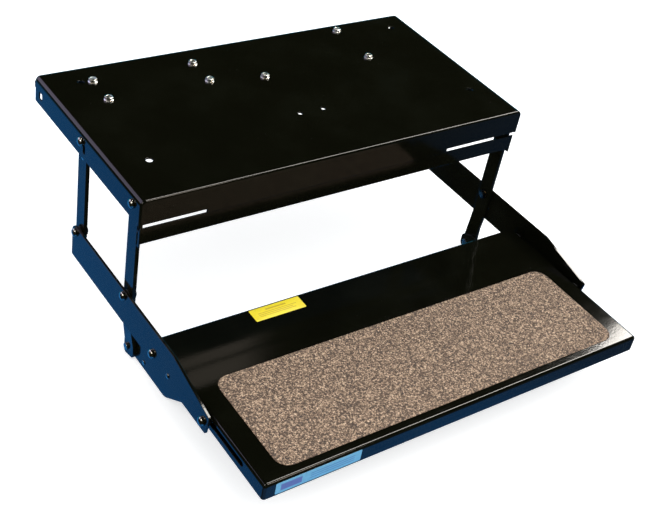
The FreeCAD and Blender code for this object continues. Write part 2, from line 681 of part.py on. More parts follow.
def make_rear_arm():
    """Flat bar with a bushed hole at each end."""
    half = arm_width / 2
    bottom = -arm_length - arm_nose - 1.5
    points = [(-arm_nose, arm_nose), (arm_nose, arm_nose), (half, -pivot_drop), (half, bottom),
              (-half, bottom), (-half, -pivot_drop)]
    corners = [(0, nose_round), (1, nose_round), (3, arm_nose), (4, arm_nose)]
    pivots = [(ZERO, ZERO, bush_radius), (ZERO, -arm_length, bush_radius)]
    at = (arm_outer, rear_pivot, pivot_level)
    driven = pivots + [(ZERO, -drive_radius, drive_pin)]
    node(plate("rear_arm_bar", points, arm_thick, at, corners, driven), "rear_arm_left")
    plain = plate("rear_arm_plain", points, arm_thick, at, corners, pivots)
    node(mirrored(plain, "rear_arm_right"), "rear_arm_right")




def make_front_arm():
    """Flat bar carried on below the rail, with its tail set inwards clear of the guide bolts."""
    half = arm_width / 2
    foot = -arm_length - arm_tail - foot_past
    swell = -arm_nose - foot_swell
    points = [(-arm_nose, arm_nose), (arm_nose, arm_nose), (half, -pivot_drop),
              (half, -arm_length - joggle_top), (half - 2, foot + foot_cut), (half - 4, foot),
              (swell, foot + 5), (swell - 2, foot + 13), (-half, -arm_length - joggle_top * 1.5),
              (-half, -pivot_drop)]
    corners = [(0, nose_round), (1, nose_round), (5, foot_round), (6, foot_round)]
    holes = [(ZERO, ZERO, bush_radius), (ZERO, -arm_length, bush_radius),
             (lower_pin_set, -arm_length - arm_tail, pivot_radius)]
    at = (arm_outer, front_pivot, pivot_level)
    left = doc.addObject("Part::Common", "front_arm_bar")
    left.Base = plate("front_arm_blank", points, arm_thick + arm_joggle, at, corners, holes)
    left.Tool = joggle_path()
    left.Refine = True
    node(left, "front_arm_left")
    node(mirrored(left, "front_arm_right"), "front_arm_right")


def joggle_path():
    """The bar seen from the front: straight down, then stepped inwards for its tail."""
    top = arm_nose + SPARE
    step_top = -arm_length - joggle_top
    step_low = step_top - joggle_run
    foot = -arm_length - arm_tail - foot_past - SPARE
    outer = [(ZERO, top), (ZERO, step_top), (arm_joggle, step_low), (arm_joggle, foot)]
    inner = [(x + arm_thick, z) for x, z in reversed(outer)]
    body = padded("front_arm_path", "XZ_Plane", outer + inner, arm_width * 4, both_ways=True)
    return place(body, arm_outer, front_pivot, pivot_level)


def make_bushes():
    """Thin sleeves pressed into the arms' pivot holes."""
    for arm, y in (("front", front_pivot), ("rear", rear_pivot)):
        both_sides(f"{arm}_arm_bushes", lambda name, y_at, z: ring_across(
            name, bush_radius, pivot_radius + running, arm_thick, arm_outer, y_at, z),
            [(y, pivot_level), (y, rail_pivot_level)])


def make_cross_panel():
    """Panel welded across the front edges of both front arms, with a tab bent back at each end."""
    face = front_pivot - arm_width / 2 - panel_proud
    low = -panel_top - panel_high
    sheet_box = box("panel_face", (-arm_outer * 2, panel_thick, panel_high), (arm_outer, face, low))
    tab = box("panel_tab", (panel_thick, panel_proud, tab_high),
              (arm_outer, face, -panel_top - tab_drop - tab_high))
    node(fuse("cross_panel", [sheet_box, tab, mirrored(tab, "panel_tab_right")]), "cross_panel")


# ---------------------------------------------------------------- rails
rail_outside = left_side - rail_thick


def make_rails():
    """Flat plates, square at the back and tapered towards the front."""
    top = rail_rise
    low = rail_rise - rail_high
    rear = pivot_pitch + rail_tail
    points = [(rear, top), (rear, low), (-rail_nose + rail_nose_lean, low),
              (-rail_nose, top - rail_taper_drop), (-rail_nose + rail_taper, top)]
    corners = [(0, rail_rear_top), (1, rail_rear_low), (2, rail_rear_low), (3, rail_nose_round)]
    holes = [(ZERO, ZERO, pivot_radius), (pivot_pitch, ZERO, pivot_radius),
             (-guide_front, -guide_drop, guide_radius), (-guide_rear, -guide_drop, guide_radius),
             (-rivet_front, -rivet_drop, rivet_radius)]
    left = plate("rail_plate", points, rail_thick, (rail_outside, front_pivot, rail_pivot_level), corners,
                 holes)
    node(left, "rail_left")
    node(mirrored(left, "rail_right"), "rail_right")
    both_sides("rail_rivets", lambda name, y, z: bolt_across(
        name, rivet_radius, rivet_head, rivet_high, rail_outside, y, z, rail_thick + rivet_tail),
        [(front_pivot - rivet_front, rail_pivot_level - rivet_drop)])
    both_sides("rail_studs", lambda name, y, z: rod(name, stud_radius, stud_long, (left_side, y, z)),
               [(front_pivot - stud_front, rail_pivot_level - stud_drop)])


def make_rail_pivots():
    """Bolts through the rails, with a spacer that keeps each arm clear of its rail."""
    nut_at = arm_inner + end_play
    length = nut_at - rail_outside + pivot_nut_high
    gap = deck_sheet + pivot_washer * 0.8
    both_sides("rail_pivot_bolts", lambda name, y, z: bolt_across(
        name, pivot_radius, pivot_head, pivot_head_high, rail_outside, y, z, length), rail_pivots)
    both_sides("rail_spacers", lambda name, y, z: ring_across(
        name, spacer_radius, pivot_radius, gap, left_side, y, z), rail_pivots)
    both_sides("rail_pivot_nuts", lambda name, y, z: nut_across(
        name, pivot_nut_flats, pivot_nut_high, pivot_radius, nut_at, y, z), rail_pivots)


def make_guides():
    """Bolts and nylon sleeves that hold the tread's slotted sides against the rails."""
    washer_at = tread_inner + guide_play
    nut_at = washer_at + guide_washer_thick
    length = nut_at - rail_outside + guide_nut_high
    both_sides("guide_bolts", lambda name, y, z: bolt_across(
        name, guide_radius, pivot_head, pivot_head_high, rail_outside, y, z, length), guides)
    both_sides("guide_sleeves", lambda name, y, z: ring_across(
        name, guide_sleeve, guide_radius, tread_gap - guide_play, left_side, y, z), guides)
    both_sides("guide_washers", lambda name, y, z: ring_across(
        name, guide_washer, guide_radius, guide_washer_thick, washer_at, y, z), guides)
    both_sides("guide_nuts", lambda name, y, z: nut_across(
        name, guide_nut_flats, guide_nut_high, guide_radius, nut_at, y, z), guides)


# ---------------------------------------------------------------- tread
tread_width = (-left_side - tread_gap) * 2


def make_tread():
    """Shallow pan with a guide slot for each guide bolt and a guard behind the front slots."""
    bends = (tread_bend, tread_bend - 1, tread_bend - 1)
    low = tread_top - tread_flange
    shell = pan("tread", tread_width, tread_depth, tread_flange, tread_sheet, bends,
                (ZERO, tread_front, low))
    guard_start = front_pivot - guide_front - tread_travel - guard_spare
    guard_long = tread_travel + guard_spare * 2
    wall = box("nut_guard_wall", (guard_sheet, guard_long, tread_flange - tread_sheet),
               (left_side + guard_in, guard_start, low))
    floor = box("nut_guard_floor", (guard_in - tread_gap - tread_sheet, guard_long, guard_sheet),
                (tread_inner, guard_start, low))
    guard = fuse("nut_guard", [wall, floor])
    full = tread_width + SPARE * 2
    outside = tread_side - SPARE
    tools = []
    for i, (y, z) in enumerate(guides):
        tools.append(slot_tool(f"guide_slot_{i}", guide_radius + guide_play, y - tread_travel - end_play,
                               y + end_play, z, outside, full))
    inner_rear = tread_front + tread_depth - tread_sheet
    tools.append(box("trim_tread_rear", (tread_width - tread_bend * 2, tread_sheet + SPARE * 2,
                                         tread_flange - tread_rear_flange),
                     (tread_side + tread_bend, inner_rear - SPARE, low)))
    tools.append(rod("tread_pin_hole", pivot_radius, full, (outside, tread_pin_at, tread_pin_level)))
    sheet_metal = cut("tread_slotted", shell, tools)
    node(fuse("tread_pan", [sheet_metal, guard, mirrored(guard, "nut_guard_right")]), "tread_pan")


def make_tread_dressing():
    """Grit pad, hazard label and rating label, each stuck to the tread."""
    half = pad_width / 2
    plan = [(-half, ZERO), (half, ZERO), (half, pad_depth), (-half, pad_depth)]
    body = padded("grit_pad_sheet", "XY_Plane", plan, pad_thick)
    uprights = [f"Edge{i}" for i, edge in enumerate(body.Shape.Edges, 1)
                if abs(edge.Vertexes[0].Point.z - edge.Vertexes[1].Point.z) > EPS]
    rounded(body, "grit_pad_corners", uprights, pad_corner)
    node(place(body, ZERO, tread_front + pad_front, tread_top), "grit_pad")
    hazard_at = (left_side + hazard_side, tread_front + tread_depth - hazard_rear, tread_top)
    node(box("hazard_label", (hazard_wide, hazard_deep, label_thick), hazard_at), "hazard_label")
    rating_at = (left_side + rating_side, tread_front - label_thick, tread_top - rating_drop - rating_high)
    node(box("rating_label", (rating_wide, label_thick, rating_high), rating_at), "rating_label")


def make_tread_pins():
    """Pins on the inner faces of the tread's sides, one for each drag link."""
    both_sides("tread_pins", lambda name, y, z: fuse(name, [
        rod(name + "_shank", pivot_radius, tread_sheet, (tread_side, y, z)),
        rod(name + "_boss", pin_boss, tail_inner - tread_inner - link_gap, (tread_inner, y, z))]),
        [(tread_pin_at, tread_pin_level)])


# ---------------------------------------------------------------- drag links
link_x = tail_inner + link_gap


def make_drag_links():
    """Cranked bars from the front arms' lower pins to the tread."""
    half = link_half
    slope = math.atan2(number(link_climb), number(link_reach - link_straight))
    up = math.cos(slope) * half
    back = math.sin(slope) * half
    tip_y = -link_reach - math.cos(slope) * link_past
    tip_z = link_climb + math.sin(slope) * link_past
    climb = (link_rise - up) / math.tan(slope)
    low_bend = -link_straight - math.tan(slope / 2) * half
    points = [(half, half), (-half, link_rise), (back - link_straight - climb, link_rise),
              (tip_y + back, tip_z + up), (tip_y - back, tip_z - up), (low_bend, -half), (half, -half)]
    corners = [(0, link_corner), (6, link_corner), (3, link_corner), (4, link_corner), (5, link_elbow)]
    holes = [(ZERO, ZERO, pivot_radius + running), (-link_rivet_at, ZERO, link_rivet)]
    at = (link_x, lower_pin_at, lower_pin_level)
    left = plate("drag_link_bar", points, link_thick, at, corners, holes)
    node(left, "drag_link_left")
    node(mirrored(left, "drag_link_right"), "drag_link_right")
    both_sides("drag_link_rivets", lambda name, y, z: rod(
        name, link_rivet, link_thick + link_rivet_past, (link_x - link_rivet_in, y, z)),
        [(lower_pin_at - link_rivet_at, lower_pin_level)])
    both_sides("tread_pin_caps", lambda name, y, z: rod(
        name, cap_radius, cap_thick, (link_x + link_thick, y, z)), [(tread_pin_at, tread_pin_level)])


def make_lower_pins():
    """Pins at the front arms' lower ends, with a head each side of the drag link."""
    length = arm_thick + link_gap + link_thick + end_play
    both_sides("lower_pins", lambda name, y, z: fuse(name, [
        rod(name + "_head", lower_pin_head, lower_pin_high, (tail_outer - lower_pin_high, y, z)),
        rod(name + "_shank", pivot_radius, length, (tail_outer, y, z)),
        rod(name + "_clip", lower_pin_head, lower_clip, (tail_outer + length, y, z))]),
        [(lower_pin_at, lower_pin_level)])


# ---------------------------------------------------------------- drive
def make_drive():
    """Gearmotor hung from the deck, with its shaft through the gear case's left face."""
    can_at = case_x + case_wide
    front = crank_axis - case_deep / 2
    strap = box("strap_top", (drive_bolt_pitch + bracket_margin * 2, case_deep, bracket_sheet),
                (left_side + drive_bolt_left - bracket_margin, front, hang - bracket_sheet))
    far_cheek = motor_length - cheek_inset - bracket_sheet
    cheek_size = (bracket_sheet, case_deep, cheek_high)
    cheeks = [box(f"cheek_{i}", cheek_size, (can_at + x, front, hang - cheek_high))
              for i, x in enumerate((cheek_inset, far_cheek))]
    tools = [down_hole(f"strap_hole_{i}", deck_bolt, x, y) for i, (x, y) in enumerate(drive_bolts_at)]
    tools.append(rod("strap_bore", motor_radius, motor_length, (can_at, crank_axis, motor_level)))
    node(cut("motor_bracket", fuse("strap", [strap] + cheeks), tools), "motor_bracket")

    can = rod("motor_can", motor_radius, motor_length, (can_at, crank_axis, motor_level))
    lip = rod("motor_rim", motor_radius + motor_lip, motor_lip_wide,
              (can_at + motor_lip_at, crank_axis, motor_level))
    node(fuse("motor", [can, lip]), "motor")
    cap_at = can_at + motor_length
    drum = rod("cap_drum_bar", motor_radius - cap_step, cap_drum, (cap_at, crank_axis, motor_level))
    boss = rod("cap_boss_bar", cap_boss, cap_boss_long, (cap_at + cap_drum, crank_axis, motor_level))
    node(fuse("motor_end_cap", [drum, boss]), "motor_end_cap")

    case_low = -case_top - case_high
    case = box("gear_case_block", (case_wide, case_deep, case_high), (case_x, front, case_low))
    bore = rod("gear_case_bore", shaft_radius + running, shaft_long + 4,
               (case_x - 1, crank_axis, crank_level))
    node(cut("gear_case", case, [bore]), "gear_case")
    screws = [rod(f"case_screw_{i}_{j}", case_screw, case_screw_high, (case_x - case_screw_high, y, z))
              for i, y in enumerate((front + case_screw_in, front + case_deep - case_screw_in))
              for j, z in enumerate((-case_top - case_screw_in, case_low + case_screw_in))]
    group("gear_case_screws", screws)
    shaft = rod("shaft_bar", shaft_radius, shaft_long, (case_x - shaft_proud, crank_axis, crank_level))
    spigot = rod("shaft_end", shaft_spigot, crank_thick, (crank_x, crank_axis, crank_level))
    node(fuse("shaft", [shaft, spigot]), "output_shaft")


def make_crank():
    """Crank arm on the output shaft, as long as the drive pin is below the rear pivot."""
    half = crank_half
    foot = -drive_radius - crank_past
    points = [(-half, half), (half, half), (half, foot), (-half, foot)]
    corners = [(i, crank_corner) for i in range(4)]
    holes = [(ZERO, ZERO, shaft_spigot), (ZERO, -drive_radius, drive_pin)]
    at = (crank_x, crank_axis, crank_level)
    node(plate("crank_bar", points, crank_thick, at, corners, holes), "crank")
    pin_out = bar_thick + bar_gap * 2
    node(rod("crank_pin_bar", drive_pin, crank_thick + pin_out,
             (crank_x - pin_out, crank_axis, crank_level - drive_radius)), "crank_pin")


def make_drive_link():
    """Bar from the crank pin to the drive pin, kept level by the equal crank radii."""
    half = bar_half
    near = -bar_past
    far = drive_back + bar_past
    points = [(near, half), (far, half - drive_drop), (far, -half - drive_drop), (near, -half)]
    corners = [(i, bar_corner) for i in range(4)]
    holes = [(ZERO, ZERO, drive_pin + running), (drive_back, -drive_drop, drive_pin + running)]
    level = pivot_level - drive_radius
    at = (crank_x - bar_thick - bar_gap, rear_pivot, level)
    node(plate("drive_link_bar", points, bar_thick, at, corners, holes), "drive_link")
    node(rod("drive_pin_bar", drive_pin, crank_x - bar_gap - arm_outer, (arm_outer, rear_pivot, level)),
         "drive_pin")


def make_control_box():
    """Sealed control box under the deck's right half, with its socket."""
    left = left_side + control_bolt_left
    front = deck_front + control_bolt_front
    span = control_bolt_right - control_bolt_left
    reach = control_bolt_rear - control_bolt_front
    sheet_top = box("control_sheet", (span + bracket_margin * 3, reach + bracket_margin * 2, bracket_sheet),
                    (left - bracket_margin * 1.5, front - bracket_margin, hang - bracket_sheet))
    holes = [down_hole(f"control_hole_{i}", deck_bolt, x, y) for i, (x, y) in enumerate(control_bolts_at)]
    node(cut("control_bracket", sheet_top, holes), "control_bracket")
    top = hang - bracket_sheet
    body_at = (left + control_side, front + control_front, top - control_high)
    node(box("control_body", (control_wide, control_deep, control_high), body_at), "control_box")
    lid_at = (left + control_side - lid_rim, front + control_front - lid_rim, top - control_high - lid_rim)
    node(box("control_lid_sheet", (control_wide + lid_rim * 2, control_deep + lid_rim * 2, lid_rim), lid_at),
         "control_lid")
    socket_at = (left + control_side + control_wide,
                 front + control_front + (control_deep - socket_deep) / 2, top - lid_rim - 3 - socket_wide)
    node(box("control_socket_block", (socket_wide, socket_deep, socket_wide), socket_at), "control_socket")


make_deck()
make_deck_fasteners()
make_deck_pivots()
make_rear_arm()
make_front_arm()
make_bushes()
make_cross_panel()
make_rails()
make_rail_pivots()
make_guides()
make_tread()
make_tread_dressing()
make_tread_pins()
make_drag_links()
make_lower_pins()
make_drive()
make_crank()
make_drive_link()
make_control_box()
doc.recompute()

# ---------------------------------------------------------------- checks and files
for thing in doc.Objects:
    if "Invalid" in thing.State or "Error" in thing.State:
        raise RuntimeError(f"{thing.Label} failed: {thing.State}")
for name, thing in nodes:
    if thing.Shape.isNull() or not thing.Shape.isValid():
        raise RuntimeError(f"{name} has no valid shape")

os.makedirs("parts", exist_ok=True)
for name, thing in nodes:
    thing.Shape.exportStep(f"parts/{name}.step")
    bounds = thing.Shape.BoundBox
    print(f"{name:22s} {len(thing.Shape.Solids):2d} solids  {thing.Shape.Volume / 1000:9.2f} cm3  "
          f"x {bounds.XMin:7.1f} {bounds.XMax:7.1f}  y {bounds.YMin:7.1f} {bounds.YMax:7.1f}  "
          f"z {bounds.ZMin:7.1f} {bounds.ZMax:7.1f}")
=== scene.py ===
"""Fold-out entry step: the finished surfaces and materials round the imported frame.

Metres, +Z up, -Y towards the person stepping up, origin at the centre of the deck's top face. The
sections follow the step as it is put together, from the deck down to the tread, then the drive, and
last the floor, the lights and the camera.
"""
import json
import math

import bmesh
import bpy
import numpy as np
from mathutils import Matrix, Vector


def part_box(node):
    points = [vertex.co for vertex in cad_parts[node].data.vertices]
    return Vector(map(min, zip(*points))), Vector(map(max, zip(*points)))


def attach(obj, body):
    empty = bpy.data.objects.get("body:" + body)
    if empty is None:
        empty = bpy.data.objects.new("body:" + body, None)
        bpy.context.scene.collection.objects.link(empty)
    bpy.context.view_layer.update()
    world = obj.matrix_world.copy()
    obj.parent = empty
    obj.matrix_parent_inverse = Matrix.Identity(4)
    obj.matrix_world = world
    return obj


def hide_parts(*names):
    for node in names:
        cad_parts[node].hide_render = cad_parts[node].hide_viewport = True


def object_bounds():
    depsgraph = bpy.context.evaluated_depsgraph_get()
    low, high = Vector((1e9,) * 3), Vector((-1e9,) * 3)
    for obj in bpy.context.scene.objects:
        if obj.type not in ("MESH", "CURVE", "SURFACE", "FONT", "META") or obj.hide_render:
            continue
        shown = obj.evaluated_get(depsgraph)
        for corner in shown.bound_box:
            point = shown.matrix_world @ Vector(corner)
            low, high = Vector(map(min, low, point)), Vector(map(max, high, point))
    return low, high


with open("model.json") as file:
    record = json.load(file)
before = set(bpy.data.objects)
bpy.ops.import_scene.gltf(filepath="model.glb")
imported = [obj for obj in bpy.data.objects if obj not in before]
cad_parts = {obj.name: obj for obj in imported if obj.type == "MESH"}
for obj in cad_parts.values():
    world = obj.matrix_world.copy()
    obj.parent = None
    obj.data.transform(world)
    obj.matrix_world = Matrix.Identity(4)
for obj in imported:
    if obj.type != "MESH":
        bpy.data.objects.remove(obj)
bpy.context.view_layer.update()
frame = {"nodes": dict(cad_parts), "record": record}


# ---------------------------------------------------------------- deck
# The deck is one sheet of 2 mm mild steel, punched, pressed with a shallow dimple round each bolt and
# bent down on all four sides. Its cut edges are tumbled before it is powder coated gloss black.
MM = 0.001


class Socket:
    """A socket in a material. Arithmetic on it adds the Math node that works it out."""

    def __init__(self, tree, link=None):
        self.tree = tree
        self.link = link

    def add(self, kind, settings=None, inputs=None, output=0):
        """Any node: its settings first, a ramp's stops among them, then its sockets' values or links."""
        node = self.tree.nodes.new("ShaderNode" + kind)
        for name, value in (settings or {}).items():
            if name == "stops":
                ramp = node.color_ramp.elements
                while len(ramp) < len(value):
                    ramp.new(1.0)
                for stop, (position, colour) in zip(ramp, value):
                    stop.position = position
                    stop.color = (*colour, 1.0)
            else:
                setattr(node, name, value)
        for name, value in (inputs or {}).items():
            if isinstance(value, Socket):
                self.tree.links.new(value.link, node.inputs[name])
            else:
                node.inputs[name].default_value = value
        return Socket(self.tree, node.outputs[output])

    def math(self, operation, first, second=0.0):
        return self.add("Math", {"operation": operation}, {0: first, 1: second})

    def __add__(self, other):
        return self.math("ADD", self, other)

    def __sub__(self, other):
        return self.math("SUBTRACT", self, other)

    def __rsub__(self, other):
        return self.math("SUBTRACT", other, self)

    def __mul__(self, other):
        return self.math("MULTIPLY", self, other)

    __radd__ = __add__
    __rmul__ = __mul__

    def between(self, low, high):
        """0 below low, 1 above high and a smooth rise between them; low above high turns it round."""
        return self.add("MapRange", {"interpolation_type": "SMOOTHSTEP"},
                        {"Value": self, "From Min": low, "From Max": high})

    def mix(self, colour, other):
        """One colour where this socket is 0 and the other where it is 1."""
        plain = [value if isinstance(value, Socket) else (*value, 1.0) for value in (colour, other)]
        return self.add("Mix", {"data_type": "RGBA"}, {0: self, 6: plain[0], 7: plain[1]}, 2)

    def stretched(self, x, y, z):
        """These coordinates with each axis scaled by its own number."""
        return self.add("Mapping", None, {"Vector": self, "Scale": (x, y, z)})

    def noise(self, scale, detail=2.0, roughness=0.5):
        """Soft noise, about 0.3 to 0.7, on these coordinates."""
        return self.add("TexNoise", None,
                        {"Vector": self, "Scale": scale, "Detail": detail, "Roughness": roughness})

    def cells(self, scale):
        """Distance to the nearest of many scattered points on these coordinates."""
        return self.add("TexVoronoi", None, {"Vector": self, "Scale": scale}, "Distance")

    def axis(self, name):
        """One of the three coordinates."""
        return self.add("SeparateXYZ", None, {"Vector": self}, name)

    def relief(self, depth):
        """The surface normal bent by this height, depth metres from its lowest to its highest."""
        return self.add("Bump", None, {"Height": self, "Distance": depth, "Strength": 1.0})


def finish(name, make):
    """A material: make takes the Object coordinates and returns the shader's constants and maps."""
    material = bpy.data.materials.new(name)
    material.use_nodes = True
    tree = material.node_tree
    tree.nodes.clear()
    place = Socket(tree).add("TexCoord", output="Object")
    shader = place.add("BsdfPrincipled", None, make(place))
    output = tree.nodes.new("ShaderNodeOutputMaterial")
    tree.links.new(shader.link, output.inputs["Surface"])
    return material


def black_coat(place):
    """Gloss black powder: orange peel, a few nibs of dust, and faint rubbed streaks that dull it."""
    peel = place.noise(380.0, 3.0)
    rubbed = place.stretched(1.0, 9.0, 9.0).noise(14.0, 5.0, 0.62).between(0.54, 0.7)
    smudge = place.noise(9.0, 4.0, 0.6).between(0.4, 0.72)
    nib = place.cells(95.0).between(0.06, 0.02) * place.noise(31.0).between(0.52, 0.6)
    tone = smudge.mix((0.0026, 0.0028, 0.0014), (0.0040, 0.0044, 0.0024))
    return {
        "Base Color": (nib * 0.6).mix(tone, (0.028, 0.026, 0.022)),
        "Roughness": 0.07 + 0.04 * smudge + 0.05 * rubbed + 0.25 * nib,
        "Specular IOR Level": 0.28,
        "Normal": (peel + 0.8 * nib).relief(0.000035),
    }


coat = finish("gloss_black_powder_coat", black_coat)


def merged(node):
    """A frame node's triangles as a closed mesh again: shared corners joined, flat faces made whole."""
    work = bmesh.new()
    work.from_mesh(frame["nodes"][node].data)
    bmesh.ops.remove_doubles(work, verts=work.verts, dist=0.002 * MM)
    bmesh.ops.dissolve_limit(work, angle_limit=math.radians(0.3), verts=work.verts, edges=work.edges)
    mesh = bpy.data.meshes.new(node)
    work.to_mesh(mesh)
    work.free()
    return mesh


def body_of(node):
    """The moving body that a frame node belongs to."""
    bodies = frame["record"]["behaviour"]["bodies"]
    return next(body for body, members in bodies.items() if node in members)


def show(name, mesh, material, body, replaced=(), sharp=32.0):
    """Puts a finished mesh in the scene, on its body, in place of the frame nodes it stands for."""
    mesh.materials.clear()
    mesh.materials.append(material)
    mesh.polygons.foreach_set("use_smooth", np.ones(len(mesh.polygons), bool))
    mesh.set_sharp_from_angle(angle=math.radians(sharp))
    piece = bpy.data.objects.new(name, mesh)
    bpy.context.scene.collection.objects.link(piece)
    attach(piece, body)
    if replaced:
        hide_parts(*replaced)
    return piece


def eased(node, material, edge=0.35 * MM):
    """A sheet or bar of the frame with its cut edges rounded over as tumbling and paint leave them."""
    piece = show(node + "_finished", merged(node), material, body_of(node), [node])
    bevel = piece.modifiers.new("eased_edges", "BEVEL")
    bevel.width = edge
    bevel.segments = 2
    bevel.limit_method = "ANGLE"
    bevel.angle_limit = math.radians(40)
    bevel.use_clamp_overlap = False
    flat = piece.modifiers.new("flat_faces", "WEIGHTED_NORMAL")
    flat.keep_sharp = True
    flat.weight = 100
    return piece


eased("deck_plate", coat)


# ---------------------------------------------------------------- deck bolts and nuts
# Hexagon flange bolts, M6, zinc plated and left bright, stand in the dimples and clamp what hangs below
# the deck. The nuts under it have a nylon locking collar. Both are cold formed and thread rolled.
def grid(points, round_u=False, round_v=False):
    """Vertices and quads of a surface given as rows of points, closed round either way if asked."""
    rows, columns = points.shape[:2]
    index = np.arange(rows * columns).reshape(rows, columns)
    if round_u:
        index = np.vstack([index, index[:1]])
    if round_v:
        index = np.hstack([index, index[:, :1]])
    quads = np.stack([index[:-1, :-1], index[:-1, 1:], index[1:, 1:], index[1:, :-1]], axis=-1)
    return points.reshape(-1, 3), quads.reshape(-1, 4)


def solid(surfaces):
    """One mesh from several closed surfaces: seams and poles joined, faces turned outwards."""
    vertices = []
    quads = []
    count = 0
    for points, faces in surfaces:
        vertices.append(points)
        quads.append(faces + count)
        count += len(points)
    mesh = bpy.data.meshes.new("surface")
    mesh.from_pydata(np.vstack(vertices), [], np.vstack(quads))
    work = bmesh.new()
    work.from_mesh(mesh)
    bmesh.ops.remove_doubles(work, verts=work.verts, dist=0.001 * MM)
    bmesh.ops.dissolve_degenerate(work, edges=work.edges, dist=0.0005 * MM)
    bmesh.ops.recalc_face_normals(work, faces=work.faces)
    work.to_mesh(mesh)
    work.free()
    return mesh


def stand(points, at, axis):
    """Points modelled round +Z, turned so that +Z lies along axis, and moved to a place."""
    along = np.asarray(axis, float)
    side = np.cross(along, (0.0, 0.0, 1.0)) if abs(along[2]) < 0.9 else np.array((1.0, 0.0, 0.0))
    side /= np.linalg.norm(side)
    return points @ np.stack([side, np.cross(along, side), along]) + np.asarray(at)


def turned(rows, flats=None, sides=48, ring=False):
    """A turned surface round +Z from rows of (height, radius, cut), in metres.

    A point at angle a has the row's radius or, in a row whose cut is 1, that of the hexagon if it is
    less: flats / 2 / cos(a'), where a' is the angle from the middle of the nearest flat. With ring the
    last row joins the first, as round a washer.
    """
    rows = np.asarray(rows, float)
    angle = np.linspace(0.0, 2.0 * math.pi, sides, endpoint=False)
    radius = np.repeat(rows[:, 1:2], sides, axis=1)
    if flats:
        nearest = (angle + math.pi / 6) % (math.pi / 3) - math.pi / 6
        hexagon = flats / 2 / np.cos(nearest)
        radius = np.where(rows[:, 2:3] > 0, np.minimum(radius, hexagon), radius)
    height = np.repeat(rows[:, 0:1], sides, axis=1)
    points = np.stack([radius * np.cos(angle), radius * np.sin(angle), height], axis=-1)
    return points, ring


def thread(radius, start, length, pitch):
    """A screw thread round +Z: its radius falls and rises by 0.6 pitch as a saw of height and angle."""
    steps = max(4, int(abs(length) / pitch * 6))
    height = np.linspace(start, start + length, steps)[:, None]
    angle = np.linspace(0.0, 2.0 * math.pi, 24, endpoint=False)[None, :]
    wave = np.abs((height / pitch - angle / (2.0 * math.pi)) % 1.0 - 0.5) * 2.0
    fade = np.clip(np.minimum(height - height.min(), height.max() - height) / pitch, 0.0, 1.0)
    spread = radius - 0.6 * pitch * wave * (0.5 + 0.5 * fade)
    points = np.stack([spread * np.cos(angle), spread * np.sin(angle), height + 0.0 * angle], axis=-1)
    ends = [np.zeros((1, 24, 3)) + (0.0, 0.0, height[row, 0]) for row in (0, -1)]
    return np.vstack([ends[0], points, ends[1]]), False


def placed(shapes, at, axis):
    """Several turned shapes stood at one place, as closed surfaces."""
    return [grid(stand(points.reshape(-1, 3), at, axis).reshape(points.shape), ring, True)
            for points, ring in shapes]


def solids(node):
    """Lowest and highest corner of each separate solid in a frame node.

    Each corner starts with its own number, and every triangle gives its three corners the lowest of
    theirs until nothing changes, so that a solid ends with one number.
    """
    mesh = frame["nodes"][node].data
    points = np.empty(len(mesh.vertices) * 3)
    mesh.vertices.foreach_get("co", points)
    corners = np.empty(len(mesh.loops), int)
    mesh.loops.foreach_get("vertex_index", corners)
    spots, where = np.unique(points.reshape(-1, 3).round(6), axis=0, return_inverse=True)
    faces = where.reshape(-1)[corners].reshape(-1, 3)
    label = np.arange(len(spots))
    before = None
    while before is None or (before != label).any():
        before = label.copy()
        np.minimum.at(label, faces, before[faces].min(axis=1)[:, None])
    return [(spots[label == k].min(axis=0), spots[label == k].max(axis=0)) for k in np.unique(label)]


def bright_zinc(place):
    """Bright zinc plate: silver with a yellow-blue bloom, fine turning marks and dulled patches."""
    bloom = place.noise(160.0, 3.0).between(0.35, 0.65)
    marks = place.stretched(1.0, 1.0, 7.0).noise(900.0, 2.0)
    return {
        "Base Color": bloom.mix((0.86, 0.80, 0.68), (0.70, 0.73, 0.76)),
        "Metallic": 1.0,
        "Roughness": 0.2 + 0.12 * bloom + 0.1 * marks,
        "Normal": marks.relief(0.00001),
    }


zinc = finish("bright_zinc_plate", bright_zinc)


def hex_flange_head(high, flats, flange):
    """Flange, then a hexagon whose corners a cone of 30 degrees takes off, and a dished top."""
    corner = flats / 2 / math.cos(math.pi / 6)
    brim = 0.25 * high
    cone = (corner - 0.48 * flats) * math.tan(math.radians(30))
    return [(0.0, 0.0, 0), (0.0, flange, 0), (0.12 * high, flange, 0), (brim, flange * 0.9, 0),
            (brim * 1.2, corner * 0.99, 1), (high - 2 * cone, corner, 1), (high - cone, corner * 0.985, 1),
            (high - 0.4 * cone, flats * 0.5, 1), (high, flats * 0.46, 1), (high, flats * 0.36, 0),
            (high - 0.06 * high, flats * 0.32, 0), (high - 0.07 * high, 0.0, 0)]


surfaces = []
for low, high in solids("deck_bolts"):
    centre = (low + high) / 2
    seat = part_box("deck_plate")[1].z - 1.2 * MM
    head = high[2] - seat
    flange = (high[0] - low[0]) / 2
    shank = 3.0 * MM
    tail = seat - low[2]
    spot = (centre[0], centre[1], seat)
    surfaces += placed([turned(hex_flange_head(head, 10 * MM, flange), 10 * MM),
                        thread(shank, -tail, tail - 0.2 * MM, 1.0 * MM)], spot, (0, 0, 1))
show("deck_bolts_finished", solid(surfaces), zinc, body_of("deck_bolts"), ["deck_bolts"])


